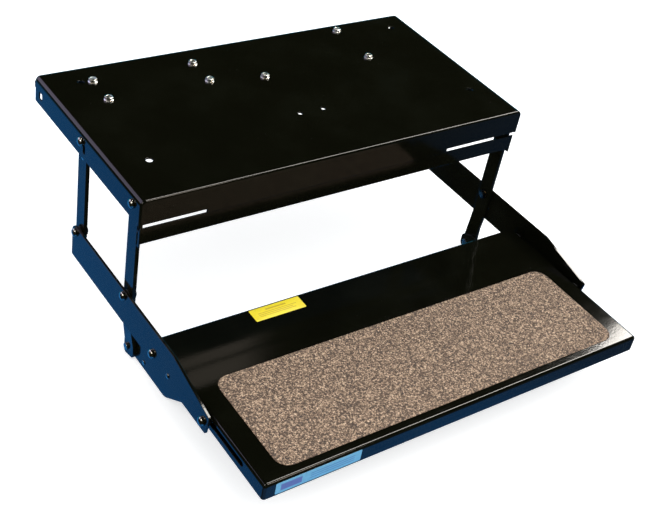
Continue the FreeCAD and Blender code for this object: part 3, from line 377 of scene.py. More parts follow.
def lock_nut(high, flats, bore):
    """Hexagon with both rims coned and a domed nylon-locking collar, open through its bore."""
    corner = flats / 2 / math.cos(math.pi / 6)
    inset = 0.08 * high
    return [(0.0, bore, 0), (0.0, flats * 0.47, 1), (inset, corner, 1), (0.68 * high, corner, 1),
            (0.76 * high, flats * 0.46, 1), (0.78 * high, flats * 0.43, 0), (0.9 * high, flats * 0.41, 0),
            (high, flats * 0.34, 0), (high, bore * 1.12, 0), (0.85 * high, bore, 0)]


surfaces = []
for low, high in solids("deck_nuts"):
    centre = (low + high) / 2
    tall = high[2] - low[2]
    surfaces += placed([turned(lock_nut(tall, 10 * MM, 2.9 * MM), 10 * MM, ring=True)],
                       (centre[0], centre[1], high[2]), (0, 0, -1))
show("deck_nuts_finished", solid(surfaces), zinc, body_of("deck_nuts"), ["deck_nuts"])


# ---------------------------------------------------------------- pivot bolts
# Shoulder bolts with a low domed head hold the arms to the deck and to the rails, and the tread to the
# rails. They are steel with a black zinc plate that has small bright rubs; their nuts are blackened.
def black_zinc(place):
    """Black zinc plate: grey metal, mottled, with small bright rubs."""
    mottle = place.noise(210.0, 4.0, 0.6).between(0.35, 0.7)
    rub = place.noise(70.0, 5.0, 0.7).between(0.62, 0.74)
    tone = mottle.mix((0.30, 0.29, 0.26), (0.48, 0.46, 0.41))
    return {
        "Base Color": rub.mix(tone, (0.55, 0.53, 0.48)),
        "Metallic": 1.0,
        "Roughness": 0.2 + 0.1 * mottle,
        "Normal": mottle.relief(0.00001),
    }


def black_oxide(place):
    """Blackened steel: nearly black and oily, with a rub of bare metal here and there."""
    rub = place.noise(90.0, 5.0, 0.7).between(0.66, 0.76)
    return {
        "Base Color": rub.mix((0.022, 0.022, 0.021), (0.30, 0.29, 0.27)),
        "Metallic": 1.0,
        "Roughness": 0.24 + 0.2 * place.noise(300.0),
        "Normal": place.noise(800.0).relief(0.00001),
    }


dark_zinc = finish("black_zinc_plate", black_zinc)
oxide = finish("black_oxide", black_oxide)


def dome_head(high, radius):
    """A low dome on a short straight rim: radius falls as the cosine of the climb, with a flat crown."""
    climb = np.linspace(0.0, 1.25, 9)
    rim = 0.28 * high
    rise = (high - rim) * np.sin(climb) / math.sin(1.25)
    dome = [(rim + up, radius * math.cos(a), 0) for a, up in zip(climb, rise)]
    return [(0.0, 0.0, 0), (0.0, radius * 0.94, 0), (0.1 * high, radius, 0)] + dome + [(high, 0.0, 0)]


def cross_bolts(node, name, shank, material, plain=0.55):
    """Bolts that lie across the step: the domed head outside, a plain shoulder and a rolled thread."""
    parts = []
    for low, high in solids(node):
        centre = (low + high) / 2
        out = -1.0 if centre[0] < 0 else 1.0
        outer = low[0] if out < 0 else high[0]
        reach = high[0] - low[0]
        radius = (high[2] - low[2]) / 2
        head = 5.0 * MM if reach > 10 * MM else 1.6 * MM
        body = reach - head
        base = (outer - out * head, centre[1], centre[2])
        shoulder = [(0.0, 0.0, 0), (0.0, shank, 0), (-plain * body, shank, 0), (-plain * body, 0.0, 0)]
        parts += placed([turned(dome_head(head, radius)), turned(shoulder, sides=32),
                         thread(shank, -body, (1.0 - plain) * body, 1.0 * MM)], base, (out, 0, 0))
    return show(name, solid(parts), material, body_of(node), [node])


def cross_nuts(node, name, flats, bore):
    """Lock nuts on the inner ends of the bolts, collar inwards."""
    parts = []
    for low, high in solids(node):
        centre = (low + high) / 2
        out = -1.0 if centre[0] < 0 else 1.0
        outer = low[0] if out < 0 else high[0]
        parts += placed([turned(lock_nut(high[0] - low[0], flats, bore), flats, ring=True)],
                        (outer, centre[1], centre[2]), (-out, 0, 0))
    return show(name, solid(parts), oxide, body_of(node), [node])


cross_bolts("deck_pivot_bolts", "deck_pivot_bolts_finished", 4 * MM, dark_zinc)
cross_nuts("deck_pivot_nuts", "deck_pivot_nuts_finished", 12 * MM, 3.9 * MM)


# ---------------------------------------------------------------- pivot washers, bushes and spacers
# The arms turn on sintered bronze bushes soaked in oil, against black nylon washers and spacers. They are
# pressed or slipped in by hand, and a nylon washer keeps its moulded matt skin.
def nylon_skin(place):
    """Black nylon: charcoal, a little greyer where grease has been wiped along it."""
    wiped = place.stretched(1.0, 1.0, 3.0).noise(120.0, 3.0).between(0.4, 0.7)
    return {
        "Base Color": wiped.mix((0.016, 0.016, 0.017), (0.03, 0.03, 0.029)),
        "Roughness": 0.42 + 0.15 * wiped,
        "Normal": place.noise(1500.0).relief(0.00002),
    }


def oiled_bronze(place):
    """Sintered bronze: warm brown metal with dark oil-filled pores."""
    pore = place.cells(1400.0).between(0.3, 0.12)
    wet = place.noise(240.0, 3.0).between(0.35, 0.65)
    return {
        "Base Color": (pore * 0.7).mix(wet.mix((0.62, 0.40, 0.20), (0.42, 0.26, 0.12)), (0.06, 0.04, 0.02)),
        "Metallic": 0.9,
        "Roughness": 0.34 + 0.2 * wet,
        "Normal": (1.0 - pore).relief(0.00003),
    }


nylon = finish("black_nylon", nylon_skin)
bronze = finish("oiled_bronze", oiled_bronze)


def rings(node, name, bore, material, edge=0.2 * MM):
    """Washers, bushes and spacers: a ring across the step with a small chamfer on each rim."""
    parts = []
    for low, high in solids(node):
        centre = (low + high) / 2
        wide = high[0] - low[0]
        radius = (high[2] - low[2]) / 2
        lip = min(edge, wide * 0.3)
        section = [(0.0, bore + lip, 0), (0.0, radius - lip, 0), (lip, radius, 0), (wide - lip, radius, 0),
                   (wide, radius - lip, 0), (wide, bore + lip, 0), (wide - lip, bore, 0), (lip, bore, 0)]
        parts += placed([turned(section, ring=True)], (low[0], centre[1], centre[2]), (1, 0, 0))
    return show(name, solid(parts), material, body_of(node), [node])


rings("deck_pivot_washers", "deck_pivot_washers_finished", 4.0 * MM, nylon, 0.1 * MM)
rings("front_arm_bushes", "front_arm_bushes_finished", 4.05 * MM, bronze)
rings("rear_arm_bushes", "rear_arm_bushes_finished", 4.05 * MM, bronze)


# ---------------------------------------------------------------- arms and cross panel
# The arms are flat steel bar, sheared, punched and coated. The cross panel is welded across the front
# arms with two short fillet beads down each end tab, coated over after welding.
for arm in ("rear_arm_left", "rear_arm_right", "front_arm_left", "front_arm_right"):
    eased(arm, coat, 0.5 * MM)
eased("cross_panel", coat)


def bead(start, end, size, seed):
    """A weld bead from start to end: a tube whose radius ripples like fish scales along it.

    At share s of the way the radius is size * (1 + 0.16 * saw(s)), closed with a half-sine at each
    end, and the centre wanders by a twelfth of size.
    """
    start = np.asarray(start, float)
    end = np.asarray(end, float)
    span = np.linalg.norm(end - start)
    rows = max(16, int(span / (0.3 * size)))
    share = np.linspace(0.0, 1.0, rows)
    scales = (share * span / (0.9 * size)) % 1.0
    from_end = np.clip(np.minimum(share, 1.0 - share) * span / size, 0.0, 0.5)
    nose = np.sqrt(np.clip(np.sin(math.pi * from_end), 0.0, 1.0))
    radius = size * (1.0 + 0.16 * (scales - 0.5)) * nose
    wander = np.random.default_rng(seed).normal(0.0, size / 12, (rows, 2))
    angle = np.linspace(0.0, 2.0 * math.pi, 12, endpoint=False)
    x = radius[:, None] * np.cos(angle) + wander[:, :1]
    y = radius[:, None] * np.sin(angle) + wander[:, 1:]
    z = (share * span)[:, None] + 0.0 * angle
    points = np.stack([x, y, z], axis=-1)
    points[0] = (0.0, 0.0, 0.0)
    points[-1] = (0.0, 0.0, span)
    along = stand(points.reshape(-1, 3), start, (end - start) / span)
    return grid(along.reshape(points.shape), False, True)


panel_low, panel_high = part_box("cross_panel")
arm_low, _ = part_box("front_arm_left")
tab_foot = panel_low.z + 2 * MM
beads = []
for side in (-1, 1):
    for x, size in ((abs(arm_low.x) - 0.3 * MM, 1.3 * MM), (abs(arm_low.x) - 3.4 * MM, 1.5 * MM)):
        beads.append(bead((side * x, panel_high.y - 0.6 * MM, tab_foot),
                          (side * x, panel_high.y - 0.6 * MM, tab_foot + 19 * MM), size, 11 + side))
show("panel_weld_beads", solid(beads), coat, "front_arms", sharp=50.0)


# ---------------------------------------------------------------- rails
# Each rail is 3.5 mm plate, laser cut with a long taper towards the front, its edges eased and coated
# with the rest. Rivets and studs with low heads are closed over on the rails.
for rail in ("rail_left", "rail_right"):
    eased(rail, coat, 0.45 * MM)
cross_bolts("rail_rivets", "rail_rivets_finished", 2.2 * MM, dark_zinc, 0.9)
cross_bolts("rail_pivot_bolts", "rail_pivot_bolts_finished", 4 * MM, dark_zinc)
rings("rail_spacers", "rail_spacers_finished", 4.0 * MM, nylon)
cross_nuts("rail_pivot_nuts", "rail_pivot_nuts_finished", 12 * MM, 3.9 * MM)


# ---------------------------------------------------------------- guides
# Two bolts a side carry the tread. A nylon sleeve on each runs in a slot in the tread's flange and a
# plated washer keeps it from coming off sideways.
cross_bolts("guide_bolts", "guide_bolts_finished", 3.8 * MM, dark_zinc)
rings("guide_sleeves", "guide_sleeves_finished", 3.8 * MM, nylon, 0.4 * MM)
rings("guide_washers", "guide_washers_finished", 3.8 * MM, zinc, 0.15 * MM)
cross_nuts("guide_nuts", "guide_nuts_finished", 11 * MM, 3.7 * MM)


# ---------------------------------------------------------------- tread
# The tread is a shallow pan of 2 mm sheet, bent down on four sides with its corners closed by a weld
# inside, then coated. Slots in its side flanges slide on the guide sleeves.
eased("tread_pan", coat)


def corner_beads(node, wall, drop, name, seed):
    """Upright weld beads inside the four corners of a bent pan."""
    low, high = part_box(node)
    parts = []
    for x in (low.x + wall, high.x - wall):
        for y in (low.y + wall, high.y - wall):
            parts.append(bead((x, y, high.z - 9 * MM - drop), (x, y, high.z - 9 * MM), 1.5 * MM, seed))
    return show(name, solid(parts), coat, body_of(node), sharp=50.0)


corner_beads("tread_pan", 2.4 * MM, 12 * MM, "tread_corner_beads", 23)
corner_beads("deck_plate", 2.4 * MM, 10 * MM, "deck_corner_beads", 29)


# ---------------------------------------------------------------- grit pad
# A self-adhesive anti-slip sheet, cut with round corners and rolled on: mineral grit of mixed brown,
# grey and cream grains bedded in resin on a thin backing, so that its top is rough and its rim is thin.
def grit_grains(place):
    """Worm-like grains, 2 to 3 mm long: cream crests on brown and slate beds, with fine sparkle."""
    warp = place.noise(210.0, 2.0)
    grain = place.noise(420.0, 3.0, 0.72)
    fine = place.noise(820.0, 2.0, 0.6)
    crest = 0.62 * grain + 0.38 * fine
    bed = warp.between(0.4, 0.6).mix((0.066, 0.042, 0.030), (0.056, 0.043, 0.038))
    ramp = crest.add("ValToRGB", {"stops": [
        (0.36, (0.05, 0.034, 0.026)), (0.455, (0.09, 0.058, 0.04)), (0.52, (0.24, 0.155, 0.10)),
        (0.60, (0.66, 0.47, 0.32)), (0.68, (0.92, 0.76, 0.56))]}, {"Fac": crest})
    return {
        "Base Color": crest.between(0.44, 0.5).mix(bed, ramp),
        "Roughness": 0.72 + 0.2 * fine,
        "Specular IOR Level": 0.3,
        "Normal": crest.relief(0.0009),
    }


grit = finish("bedded_grit", grit_grains)
pad_low, pad_high = (np.array(corner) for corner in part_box("grit_pad"))


def gritty_sheet(low, high, corner, step, rough, seed):
    """A flat sheet with round corners and a rough top.

    Columns run from side to side and rows from front to back. Near the front and the back a row is
    shortened to the corner's arc: by corner - sqrt(corner^2 - (corner - d)^2) at distance d from the
    edge. Heights are smoothed random numbers that fade out at the rim, and two more rows of points
    carry the rim down to the backing.
    """
    rows = int((high[1] - low[1]) / step)
    columns = int((high[0] - low[0]) / step)
    arc = corner * (1.0 - np.cos(np.linspace(0.0, math.pi / 2, 10)))[:-1]
    inner = np.linspace(low[1] + corner, high[1] - corner, rows)
    y = np.concatenate([low[1] + arc, inner, high[1] - arc[::-1]])
    away = np.minimum(y - low[1], high[1] - y)
    short = np.where(away < corner, corner - np.sqrt(np.maximum(corner**2 - (corner - away)**2, 0.0)), 0.0)
    middle = (low[0] + high[0]) / 2
    half = (high[0] - low[0]) / 2 - short
    x = middle + np.linspace(-1.0, 1.0, columns)[None, :] * half[:, None]
    bumps = np.random.default_rng(seed).random((len(y) + 2, columns + 2))
    soft = sum(bumps[i:i + len(y), j:j + columns] for i in range(3) for j in range(3)) / 9.0
    to_rim = np.minimum(away[:, None] + 0.0 * x, half[:, None] - np.abs(x - middle))
    fade = np.clip(to_rim / 0.0025, 0.0, 1.0)
    z = high[2] - 0.1 * MM - rough * (1.0 - soft) * fade - 0.45 * MM * (1.0 - fade)
    top = np.stack([x, y[:, None] + 0.0 * x, z], axis=-1)
    rim = np.concatenate([top[0, :], top[1:-1, -1], top[-1, ::-1], top[-2:0:-1, 0]])
    foot = rim.copy()
    foot[:, 2] = low[2]
    middle_point = np.zeros_like(foot) + (middle, (low[1] + high[1]) / 2, low[2])
    walls = np.stack([rim, foot, middle_point])
    return [grid(top), grid(walls, False, True)]


show("grit_pad_finished", solid(gritty_sheet(pad_low, pad_high, 18 * MM, 1.7 * MM, 0.5 * MM, 5)), grit,
     body_of("grit_pad"), ["grit_pad"], 180.0)


# ---------------------------------------------------------------- labels
# Two vinyl labels: a yellow one near the tread's back edge and a pale blue one on its front flange. Each
# is printed with plain bars only, the blue one also with a dark block, and pressed on over the coat.
def rounded_slab(low, high, corner, edge, axis=2, sides=8):
    """A block with rounded corners round one axis and rounded rims at both ends of it.

    The section is a rectangle whose corners are arcs of corner. Along the axis the section is drawn in
    by edge * (1 - sin(a)) while it climbs edge * (1 - cos(a)), and each end closes to its centre.
    """
    low = np.asarray(low, float)
    high = np.asarray(high, float)
    across = [i for i in range(3) if i != axis]
    middle = (low + high)[across] / 2
    half = (high - low)[across] / 2
    arc = np.linspace(0.0, math.pi / 2, sides)
    turn = np.concatenate([arc + quarter * math.pi / 2 for quarter in range(4)])
    signs = np.repeat([(1, 1), (-1, 1), (-1, -1), (1, -1)], sides, axis=0)
    climb = np.linspace(0.0, math.pi / 2, 5)
    inset = np.concatenate([edge * (1.0 - np.sin(climb)), edge * (1.0 - np.sin(climb))[::-1]])
    level = np.concatenate([low[axis] + edge * (1.0 - np.cos(climb)),
                            high[axis] - edge * (1.0 - np.cos(climb))[::-1]])
    around = np.stack([np.cos(turn), np.sin(turn)], axis=-1)
    rows = []
    for drawn_in, at in zip(inset, level):
        arc_radius = max(corner - drawn_in, 0.0)
        flat = signs * (half - drawn_in - arc_radius) + around * arc_radius + middle
        row = np.zeros((len(flat), 3))
        row[:, across] = flat
        row[:, axis] = at
        rows.append(row)
    ends = [np.zeros_like(rows[0]) + rows[k].mean(axis=0) for k in (0, -1)]
    return np.stack([ends[0]] + rows + [ends[1]])


def bars(along, across, rules):
    """A mask that is 1 inside any of the bars, each given as two ranges across the label."""
    mask = None
    for (left, right), (low, high) in rules:
        edge = 0.0002
        bar = (along.between(left - edge, left) * along.between(right + edge, right)
               * across.between(low - edge, low) * across.between(high + edge, high))
        mask = bar if mask is None else mask + bar
    return mask


def hazard_print(place):
    """Yellow vinyl with four amber bars."""
    low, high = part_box("hazard_label")
    x = place.axis("X") - low.x
    y = place.axis("Y") - low.y
    wide = high.x - low.x
    deep = high.y - low.y
    rules = [((0.3 * wide, 0.7 * wide), (0.70 * deep, 0.80 * deep)),
             ((0.12 * wide, 0.88 * wide), (0.53 * deep, 0.57 * deep)),
             ((0.12 * wide, 0.80 * wide), (0.40 * deep, 0.44 * deep)),
             ((0.12 * wide, 0.84 * wide), (0.27 * deep, 0.31 * deep))]
    worn = place.noise(420.0, 3.0).between(0.3, 0.75)
    return {
        "Base Color": (bars(x, y, rules) * 0.55).mix(worn.mix((1.0, 0.82, 0.012), (0.95, 0.76, 0.02)),
                                                     (0.42, 0.22, 0.01)),
        "Roughness": 0.36 + 0.12 * worn,
        "Normal": place.noise(240.0).relief(0.00004),
    }


def rating_print(place):
    """Pale blue vinyl with a darker block at its left and three darker bars at its right."""
    low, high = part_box("rating_label")
    x = place.axis("X") - low.x
    z = place.axis("Z") - low.z
    wide = high.x - low.x
    tall = high.z - low.z
    dark = [((0.06 * wide, 0.30 * wide), (0.22 * tall, 0.78 * tall))]
    rules = [((0.40 * wide, 0.92 * wide), (level * tall, (level + 0.07) * tall))
             for level in (0.24, 0.45, 0.66)]
    worn = place.noise(300.0, 3.0).between(0.3, 0.75)
    paper = worn.mix((0.11, 0.33, 0.52), (0.09, 0.29, 0.46))
    ruled = (bars(x, z, rules) * 0.7).mix(paper, (0.03, 0.09, 0.30))
    return {
        "Base Color": (bars(x, z, dark) * 0.9).mix(ruled, (0.07, 0.09, 0.30)),
        "Roughness": 0.34 + 0.1 * worn,
        "Normal": place.noise(240.0).relief(0.00004),
    }


yellow_vinyl = finish("yellow_vinyl", hazard_print)
blue_vinyl = finish("blue_vinyl", rating_print)
for node, material, slot, axis in (("hazard_label", yellow_vinyl, "yellow_label", 2),
                                   ("rating_label", blue_vinyl, "blue_label", 1)):
    low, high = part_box(node)
    slab = rounded_slab(low, high, 1.6 * MM, 0.12 * MM, axis)
    show(node + "_finished", solid([grid(slab, False, True)]), material, body_of(node), [node])


# ---------------------------------------------------------------- drag links and their pins
# Cranked flat bars pull the tread in as the arms fold. Each turns on a plated pin at the foot of a front
# arm and on another in the tread's flange.
for link in ("drag_link_left", "drag_link_right"):
    eased(link, coat, 0.4 * MM)


def pins(node, name, material):
    """Plain pins across the step with a rounded nose at each end; a stepped one keeps its widest disc."""
    parts = []
    for low, high in solids(node):
        centre = (low + high) / 2
        wide = high[0] - low[0]
        radius = (high[2] - low[2]) / 2
        nose = min(0.5 * MM, wide * 0.3)
        climb = np.linspace(0.0, math.pi / 2, 5)
        start = [(nose * (1 - math.cos(a)), radius - nose * (1 - math.sin(a)), 0) for a in climb]
        end = [(wide - up, out, 0) for up, out, _ in reversed(start)]
        section = [(0.0, 0.0, 0)] + start + end + [(wide, 0.0, 0)]
        parts += placed([turned(section)], (low[0], centre[1], centre[2]), (1, 0, 0))
    return show(name, solid(parts), material, body_of(node), [node])


pins("drag_link_rivets", "drag_link_rivets_finished", dark_zinc)
pins("tread_pin_caps", "tread_pin_caps_finished", dark_zinc)
pins("rail_studs", "rail_studs_finished", dark_zinc)
for node in ("tread_pins", "lower_pins"):
    eased(node, dark_zinc, 0.3 * MM)


# ---------------------------------------------------------------- motor and gear case
# The drive is bought in: a rolled steel motor can in satin black, a die-cast gear case and end cap with
# the marks of their moulds, and a plated output shaft. A folded bracket holds it up to the deck bolts.
def satin_paint(place):
    """Satin black paint on a rolled can: soft runs along the can and a fine bumpy skin."""
    run = place.stretched(0.3, 1.0, 1.0).noise(60.0, 4.0, 0.6).between(0.35, 0.7)
    return {
        "Base Color": run.mix((0.018, 0.018, 0.019), (0.032, 0.031, 0.03)),
        "Roughness": 0.34 + 0.16 * run,
        "Normal": place.noise(700.0).relief(0.00003),
    }


def die_cast(place):
    """Die-cast aluminium: pale grey, mottled by the mould, with a matt sandy skin."""
    flow = place.noise(45.0, 5.0, 0.65).between(0.35, 0.68)
    sand = place.noise(1300.0, 2.0)
    return {
        "Base Color": flow.mix((0.50, 0.51, 0.52), (0.36, 0.37, 0.385)),
        "Metallic": 0.85,
        "Roughness": 0.46 + 0.16 * flow + 0.06 * sand,
        "Normal": (sand + flow).relief(0.00007),
    }


motor_paint = finish("satin_black_paint", satin_paint)
cast_metal = finish("die_cast_aluminium", die_cast)

low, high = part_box("motor")
radius = (high.z - low.z) / 2
centre = ((low.y + high.y) / 2, (low.z + high.z) / 2)
can_length = high.x - low.x
can = radius - 1.2 * MM
lip = 4.0 * MM
beads_at = (0.16, 0.84)
rows = [(0.0, 0.0, 0), (0.0, can, 0), (1.0 * MM, can, 0), (1.3 * MM, radius - 0.3 * MM, 0),
        (1.9 * MM, radius, 0), (lip, radius, 0), (lip + 0.6 * MM, radius - 0.4 * MM, 0),
        (lip + 0.9 * MM, can, 0)]
for share in beads_at:
    middle = share * can_length
    rows += [(middle + 1.8 * MM * k, can - 0.9 * MM * math.cos(k * math.pi / 2), 0)
             for k in (-1, -0.6, -0.3, 0, 0.3, 0.6, 1)]
rows += [(can_length - 0.8 * MM, can, 0), (can_length - 0.2 * MM, can - 0.3 * MM, 0),
         (can_length, can - 1.0 * MM, 0), (can_length, 0.0, 0)]
seam = bead((low.x + 6 * MM, centre[0] + can * 0.5, centre[1] - can * 0.862),
            (high.x - 3 * MM, centre[0] + can * 0.5, centre[1] - can * 0.862), 0.5 * MM, 3)
can_surfaces = placed([turned(rows, sides=96)], (low.x, *centre), (1, 0, 0))
show("motor_finished", solid(can_surfaces + [seam]), motor_paint, body_of("motor"), ["motor"])

low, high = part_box("motor_end_cap")
radius = (high.z - low.z) / 2
drum = 9.0 * MM
boss = high.x - low.x
rows = [(0.0, 0.0, 0), (0.0, radius, 0), (drum - 3 * MM, radius, 0),
        (drum - 0.8 * MM, radius - 1.2 * MM, 0), (drum, radius - 3.2 * MM, 0), (drum, 14 * MM, 0),
        (drum - 1.2 * MM, 12.5 * MM, 0),
        (drum - 1.2 * MM, 9.5 * MM, 0), (drum, 8.2 * MM, 0), (boss - 0.6 * MM, 8.0 * MM, 0),
        (boss, 7.2 * MM, 0), (boss, 4.0 * MM, 0), (boss - 1.6 * MM, 3.6 * MM, 0), (boss - 1.6 * MM, 0.0, 0)]
cap_surfaces = placed([turned(rows, sides=72)], (low.x, *centre), (1, 0, 0))
for k in range(6):
    angle = k * math.pi / 3
    reach = np.array((math.cos(angle), math.sin(angle)))
    mid = np.array(centre) + reach * 17 * MM
    rib = turned([(0.0, 0.0, 0), (0.0, 3.2 * MM, 0), (1.2 * MM, 3.0 * MM, 0), (1.8 * MM, 2.2 * MM, 0),
                  (1.8 * MM, 0.0, 0)], sides=24)
    cap_surfaces += placed([rib], (low.x + drum - 0.4 * MM, *mid), (1, 0, 0))
show("motor_end_cap_finished", solid(cap_surfaces), cast_metal, body_of("motor_end_cap"),
     ["motor_end_cap"])

low, high = (np.array(corner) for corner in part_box("gear_case"))
case_surfaces = []
flange = 5 * MM
case_surfaces.append(grid(rounded_slab(low, (low[0] + flange, high[1], high[2]), 9 * MM, 0.8 * MM, 0),
                          False, True))
inset = 2.5 * MM
case_surfaces.append(grid(rounded_slab((low[0] + flange - 0.5 * MM, low[1] + inset, low[2] + inset),
                                       (high[0], high[1] - inset, high[2] - inset), 8 * MM, 2.2 * MM, 0),
                          False, True))
for k in range(5):
    y = low[1] + (k + 1) * (high[1] - low[1]) / 6
    case_surfaces.append(grid(rounded_slab((low[0] + flange - 0.5 * MM, y - 1.1 * MM, low[2] + 0.8 * MM),
                                           (high[0] - 6 * MM, y + 1.1 * MM, high[2] - 0.8 * MM),
                                           1.0 * MM, 0.8 * MM, 0), False, True))
show("gear_case_finished", solid(case_surfaces), cast_metal, body_of("gear_case"), ["gear_case"])


def socket_head(high, radius, key):
    """A button head with a hexagon socket: dome, rim of the socket, then down its six walls."""
    return [(0.0, 0.0, 0), (0.0, radius, 0), (0.35 * high, radius, 0), (0.75 * high, radius * 0.88, 0),
            (high, radius * 0.7, 0), (high, key * 0.5 / math.cos(math.pi / 6), 1),
            (0.3 * high, key * 0.5 / math.cos(math.pi / 6), 1), (0.3 * high, 0.0, 0)]


parts = []
for low, high in solids("gear_case_screws"):
    centre_of = (low + high) / 2
    radius = (high[2] - low[2]) / 2
    parts += placed([turned(socket_head(high[0] - low[0], radius, radius * 0.9), radius * 0.9)],
                    (high[0], centre_of[1], centre_of[2]), (-1, 0, 0))
show("gear_case_screws_finished", solid(parts), zinc, body_of("gear_case_screws"), ["gear_case_screws"])

eased("motor_bracket", coat)
for node in ("output_shaft", "crank", "crank_pin", "drive_pin"):
    eased(node, dark_zinc, 0.3 * MM)
eased("drive_link", dark_zinc, 0.3 * MM)


# ---------------------------------------------------------------- control box
# A sealed plastic box hangs from its own plate under the deck: moulded body, a lid with a ribbed face
# held by four screws, and a lead socket with its shroud. The moulding has a fine spark-eroded grain.
def moulded_plastic(place):
    """Black moulded plastic: fine grain, slightly shinier where it has been handled."""
    grain = place.noise(2100.0, 2.0)
    handled = place.noise(18.0, 3.0).between(0.4, 0.65)
    return {
        "Base Color": handled.mix((0.020, 0.020, 0.022), (0.028, 0.028, 0.030)),
        "Roughness": 0.52 - 0.12 * handled + 0.06 * grain,
        "Normal": grain.relief(0.00006),
    }


plastic = finish("moulded_black_plastic", moulded_plastic)
low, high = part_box("control_box")
box_surface = grid(rounded_slab(low, high, 5 * MM, 1.0 * MM, 2), False, True)
show("control_box_finished", solid([box_surface]), plastic, body_of("control_box"), ["control_box"])

low, high = (np.array(corner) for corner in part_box("control_lid"))
lid_surfaces = [grid(rounded_slab(low + (0, 0, 0.6 * MM), high, 6 * MM, 0.5 * MM, 2), False, True)]
for k in range(9):
    x = low[0] + 22 * MM + k * (high[0] - low[0] - 44 * MM) / 8
    lid_surfaces.append(grid(rounded_slab((x - 1.5 * MM, low[1] + 14 * MM, low[2]),
                                          (x + 1.5 * MM, high[1] - 14 * MM, low[2] + 1.0 * MM),
                                          1.2 * MM, 0.3 * MM, 2), False, True))
for x in (low[0] + 7 * MM, high[0] - 7 * MM):
    for y in (low[1] + 7 * MM, high[1] - 7 * MM):
        lid_surfaces += placed([turned(socket_head(1.4 * MM, 3.0 * MM, 2.6 * MM), 2.6 * MM)],
                               (x, y, low[2] + 0.8 * MM), (0, 0, -1))
show("control_lid_finished", solid(lid_surfaces), plastic, body_of("control_lid"), ["control_lid"])

low, high = (np.array(corner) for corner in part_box("control_socket"))
shroud = rounded_slab(low, high, 2.5 * MM, 0.8 * MM, 0)
socket_surfaces = [grid(shroud, False, True)]
for k in range(4):
    y = low[1] + (k + 1) * (high[1] - low[1]) / 5
    ring = [(0.0, 0.9 * MM, 0), (0.0, 1.9 * MM, 0), (1.4 * MM, 1.9 * MM, 0), (1.4 * MM, 0.9 * MM, 0)]
    socket_surfaces += placed([turned(ring, sides=24, ring=True)],
                              (high[0] - 0.6 * MM, y, (low[2] + high[2]) / 2), (1, 0, 0))
show("control_socket_finished", solid(socket_surfaces), plastic, body_of("control_socket"),
     ["control_socket"])
eased("control_bracket", coat)


# ---------------------------------------------------------------- floor, lights and camera
# A pale floor meets a pale, evenly lit wall. The key box lights the matt surfaces only. Four boxes,
# overhead, front, rear and left, and blue card round the sides show only in the gloss of the coat.
lowest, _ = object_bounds()


def pale_paper(place):
    """Matt off-white paper with a trace of unevenness, lit evenly from beneath."""
    return {
        "Base Color": place.noise(3.0).mix((0.86, 0.865, 0.87), (0.89, 0.89, 0.89)),
        "Emission Color": (0.9, 0.905, 0.91, 1.0),
        "Emission Strength": 0.62,
        "Roughness": 0.9,
    }


def wall_glow(place):
    """The same paper lit evenly, as a far studio wall is."""
    return {
        "Base Color": (0.0, 0.0, 0.0, 1.0),
        "Emission Color": (0.97, 0.97, 0.97, 1.0),
        "Emission Strength": 1.0,
        "Roughness": 1.0,
    }


def stage_piece(name, mesh, material):
    """A thing of the studio: seen by the camera but not in the gloss of the step."""
    mesh.materials.append(material)
    piece = bpy.data.objects.new(name, mesh)
    bpy.context.scene.collection.objects.link(piece)
    piece.visible_glossy = False
    return piece


reach = 6.0
wall_radius = 5.5
corners = np.array([[(-reach, -reach), (reach, -reach)], [(-reach, reach), (reach, reach)]])
floor_points = np.concatenate([corners, np.full((2, 2, 1), lowest.z)], axis=-1)
stage_piece("floor", solid([grid(floor_points)]), finish("pale_paper", pale_paper))
climb = np.linspace(0.0, math.pi / 2, 24)[:, None]
turn = np.linspace(0.0, 2.0 * math.pi, 64, endpoint=False)[None, :]
spread = wall_radius * np.cos(climb)
wall_points = np.stack([spread * np.cos(turn), spread * np.sin(turn),
                        lowest.z + wall_radius * np.sin(climb) + 0.0 * turn], axis=-1)
wall = stage_piece("wall", solid([grid(wall_points, False, True)]), finish("lit_wall", wall_glow))
wall.visible_shadow = False


def soft_box(name, direction, distance, size, power, colour, in_gloss=True):
    """An area light facing the step from a direction. It shows in the gloss or it lights the matt."""
    light = bpy.data.lights.new(name, "AREA")
    light.shape = "RECTANGLE"
    light.size, light.size_y = size
    light.energy = power
    light.color = colour
    lamp = bpy.data.objects.new(name, light)
    bpy.context.scene.collection.objects.link(lamp)
    aim = Vector(direction).normalized()
    lamp.location = Vector((0.0, -0.1, -0.12)) + aim * distance
    lamp.rotation_mode = "QUATERNION"
    lamp.rotation_quaternion = aim.to_track_quat("Z", "Y")
    lamp.visible_camera = False
    lamp.visible_glossy = in_gloss
    lamp.visible_diffuse = not in_gloss
    return lamp


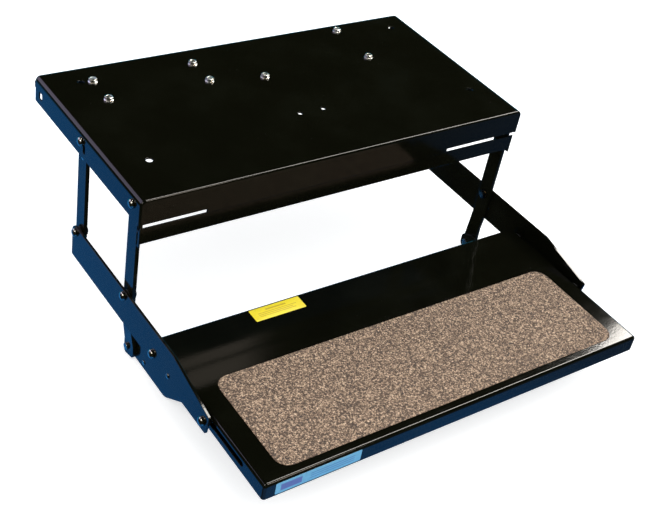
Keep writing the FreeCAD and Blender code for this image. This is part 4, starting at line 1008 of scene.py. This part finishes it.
soft_box("key_box", (0.2, -0.45, 1.0), 3.0, (2.6, 2.6), 34.0, (1.0, 0.99, 0.97), in_gloss=False)
soft_box("overhead_box", (0.557, 0.117, 0.822), 2.3, (0.5, 2.0), 90.0, (1.0, 0.95, 0.88))
soft_box("front_box", (0.33, -0.62, 0.72), 2.6, (0.4, 0.4), 9.0, (1.0, 0.86, 0.72))
soft_box("rear_box", (-0.6, 0.68, 0.42), 2.6, (1.8, 1.4), 20.0, (0.80, 0.72, 1.0))
soft_box("side_box", (-0.75, -0.2, 0.6), 2.0, (0.7, 0.7), 14.0, (1.0, 0.95, 0.88))

world = bpy.data.worlds.new("blue_card")
bpy.context.scene.world = world
world.use_nodes = True
world.node_tree.nodes.clear()
tree = world.node_tree
facing = Socket(tree).add("TexCoord", output="Generated")
x, y, z = (facing.axis(name) for name in "XYZ")
below = z.between(0.02, -0.2)
left = y.between(0.1, 0.4) * x.between(-0.62, -0.50)
right = y.between(0.1, -0.3) * x.between(0.5, 0.68)
low = z.between(-0.6, -0.7) * y.between(0.1, -0.3)
olive = (0.014, 0.014, 0.006)
navy = (0.036, 0.29, 0.82)
left_card = (below * left).mix(olive, navy)
right_card = (below * right * 0.45).mix(left_card, (0.05, 0.18, 0.46))
cards = (below * low).mix(right_card, navy)
glow = (0.5 * x + y).between(0.35, 0.95) * z.between(-0.6, -0.2) * z.between(0.42, 0.12)
sky = glow.mix(cards, (0.0, 0.42, 0.62))
background = facing.add("Background", None, {"Color": sky, "Strength": 1.0})
output = tree.nodes.new("ShaderNodeOutputWorld")
tree.links.new(background.link, output.inputs["Surface"])

across = Vector((0.81922, -0.55188, 0.15588))
upwards = Vector((0.24196, 0.57907, 0.77854))
backwards = across.cross(upwards)
camera_data = bpy.data.cameras.new("camera")
camera_data.sensor_width = 36.0
camera_data.lens = 65.06
camera = bpy.data.objects.new("camera", camera_data)
bpy.context.scene.collection.objects.link(camera)
camera_at = (-0.85927, -1.13798, 0.81524)
turn_to = Matrix((across, upwards, backwards)).transposed().to_4x4()
camera.matrix_world = Matrix.Translation(camera_at) @ turn_to
bpy.context.scene.camera = camera
bpy.context.scene.view_settings.view_transform = "Standard"
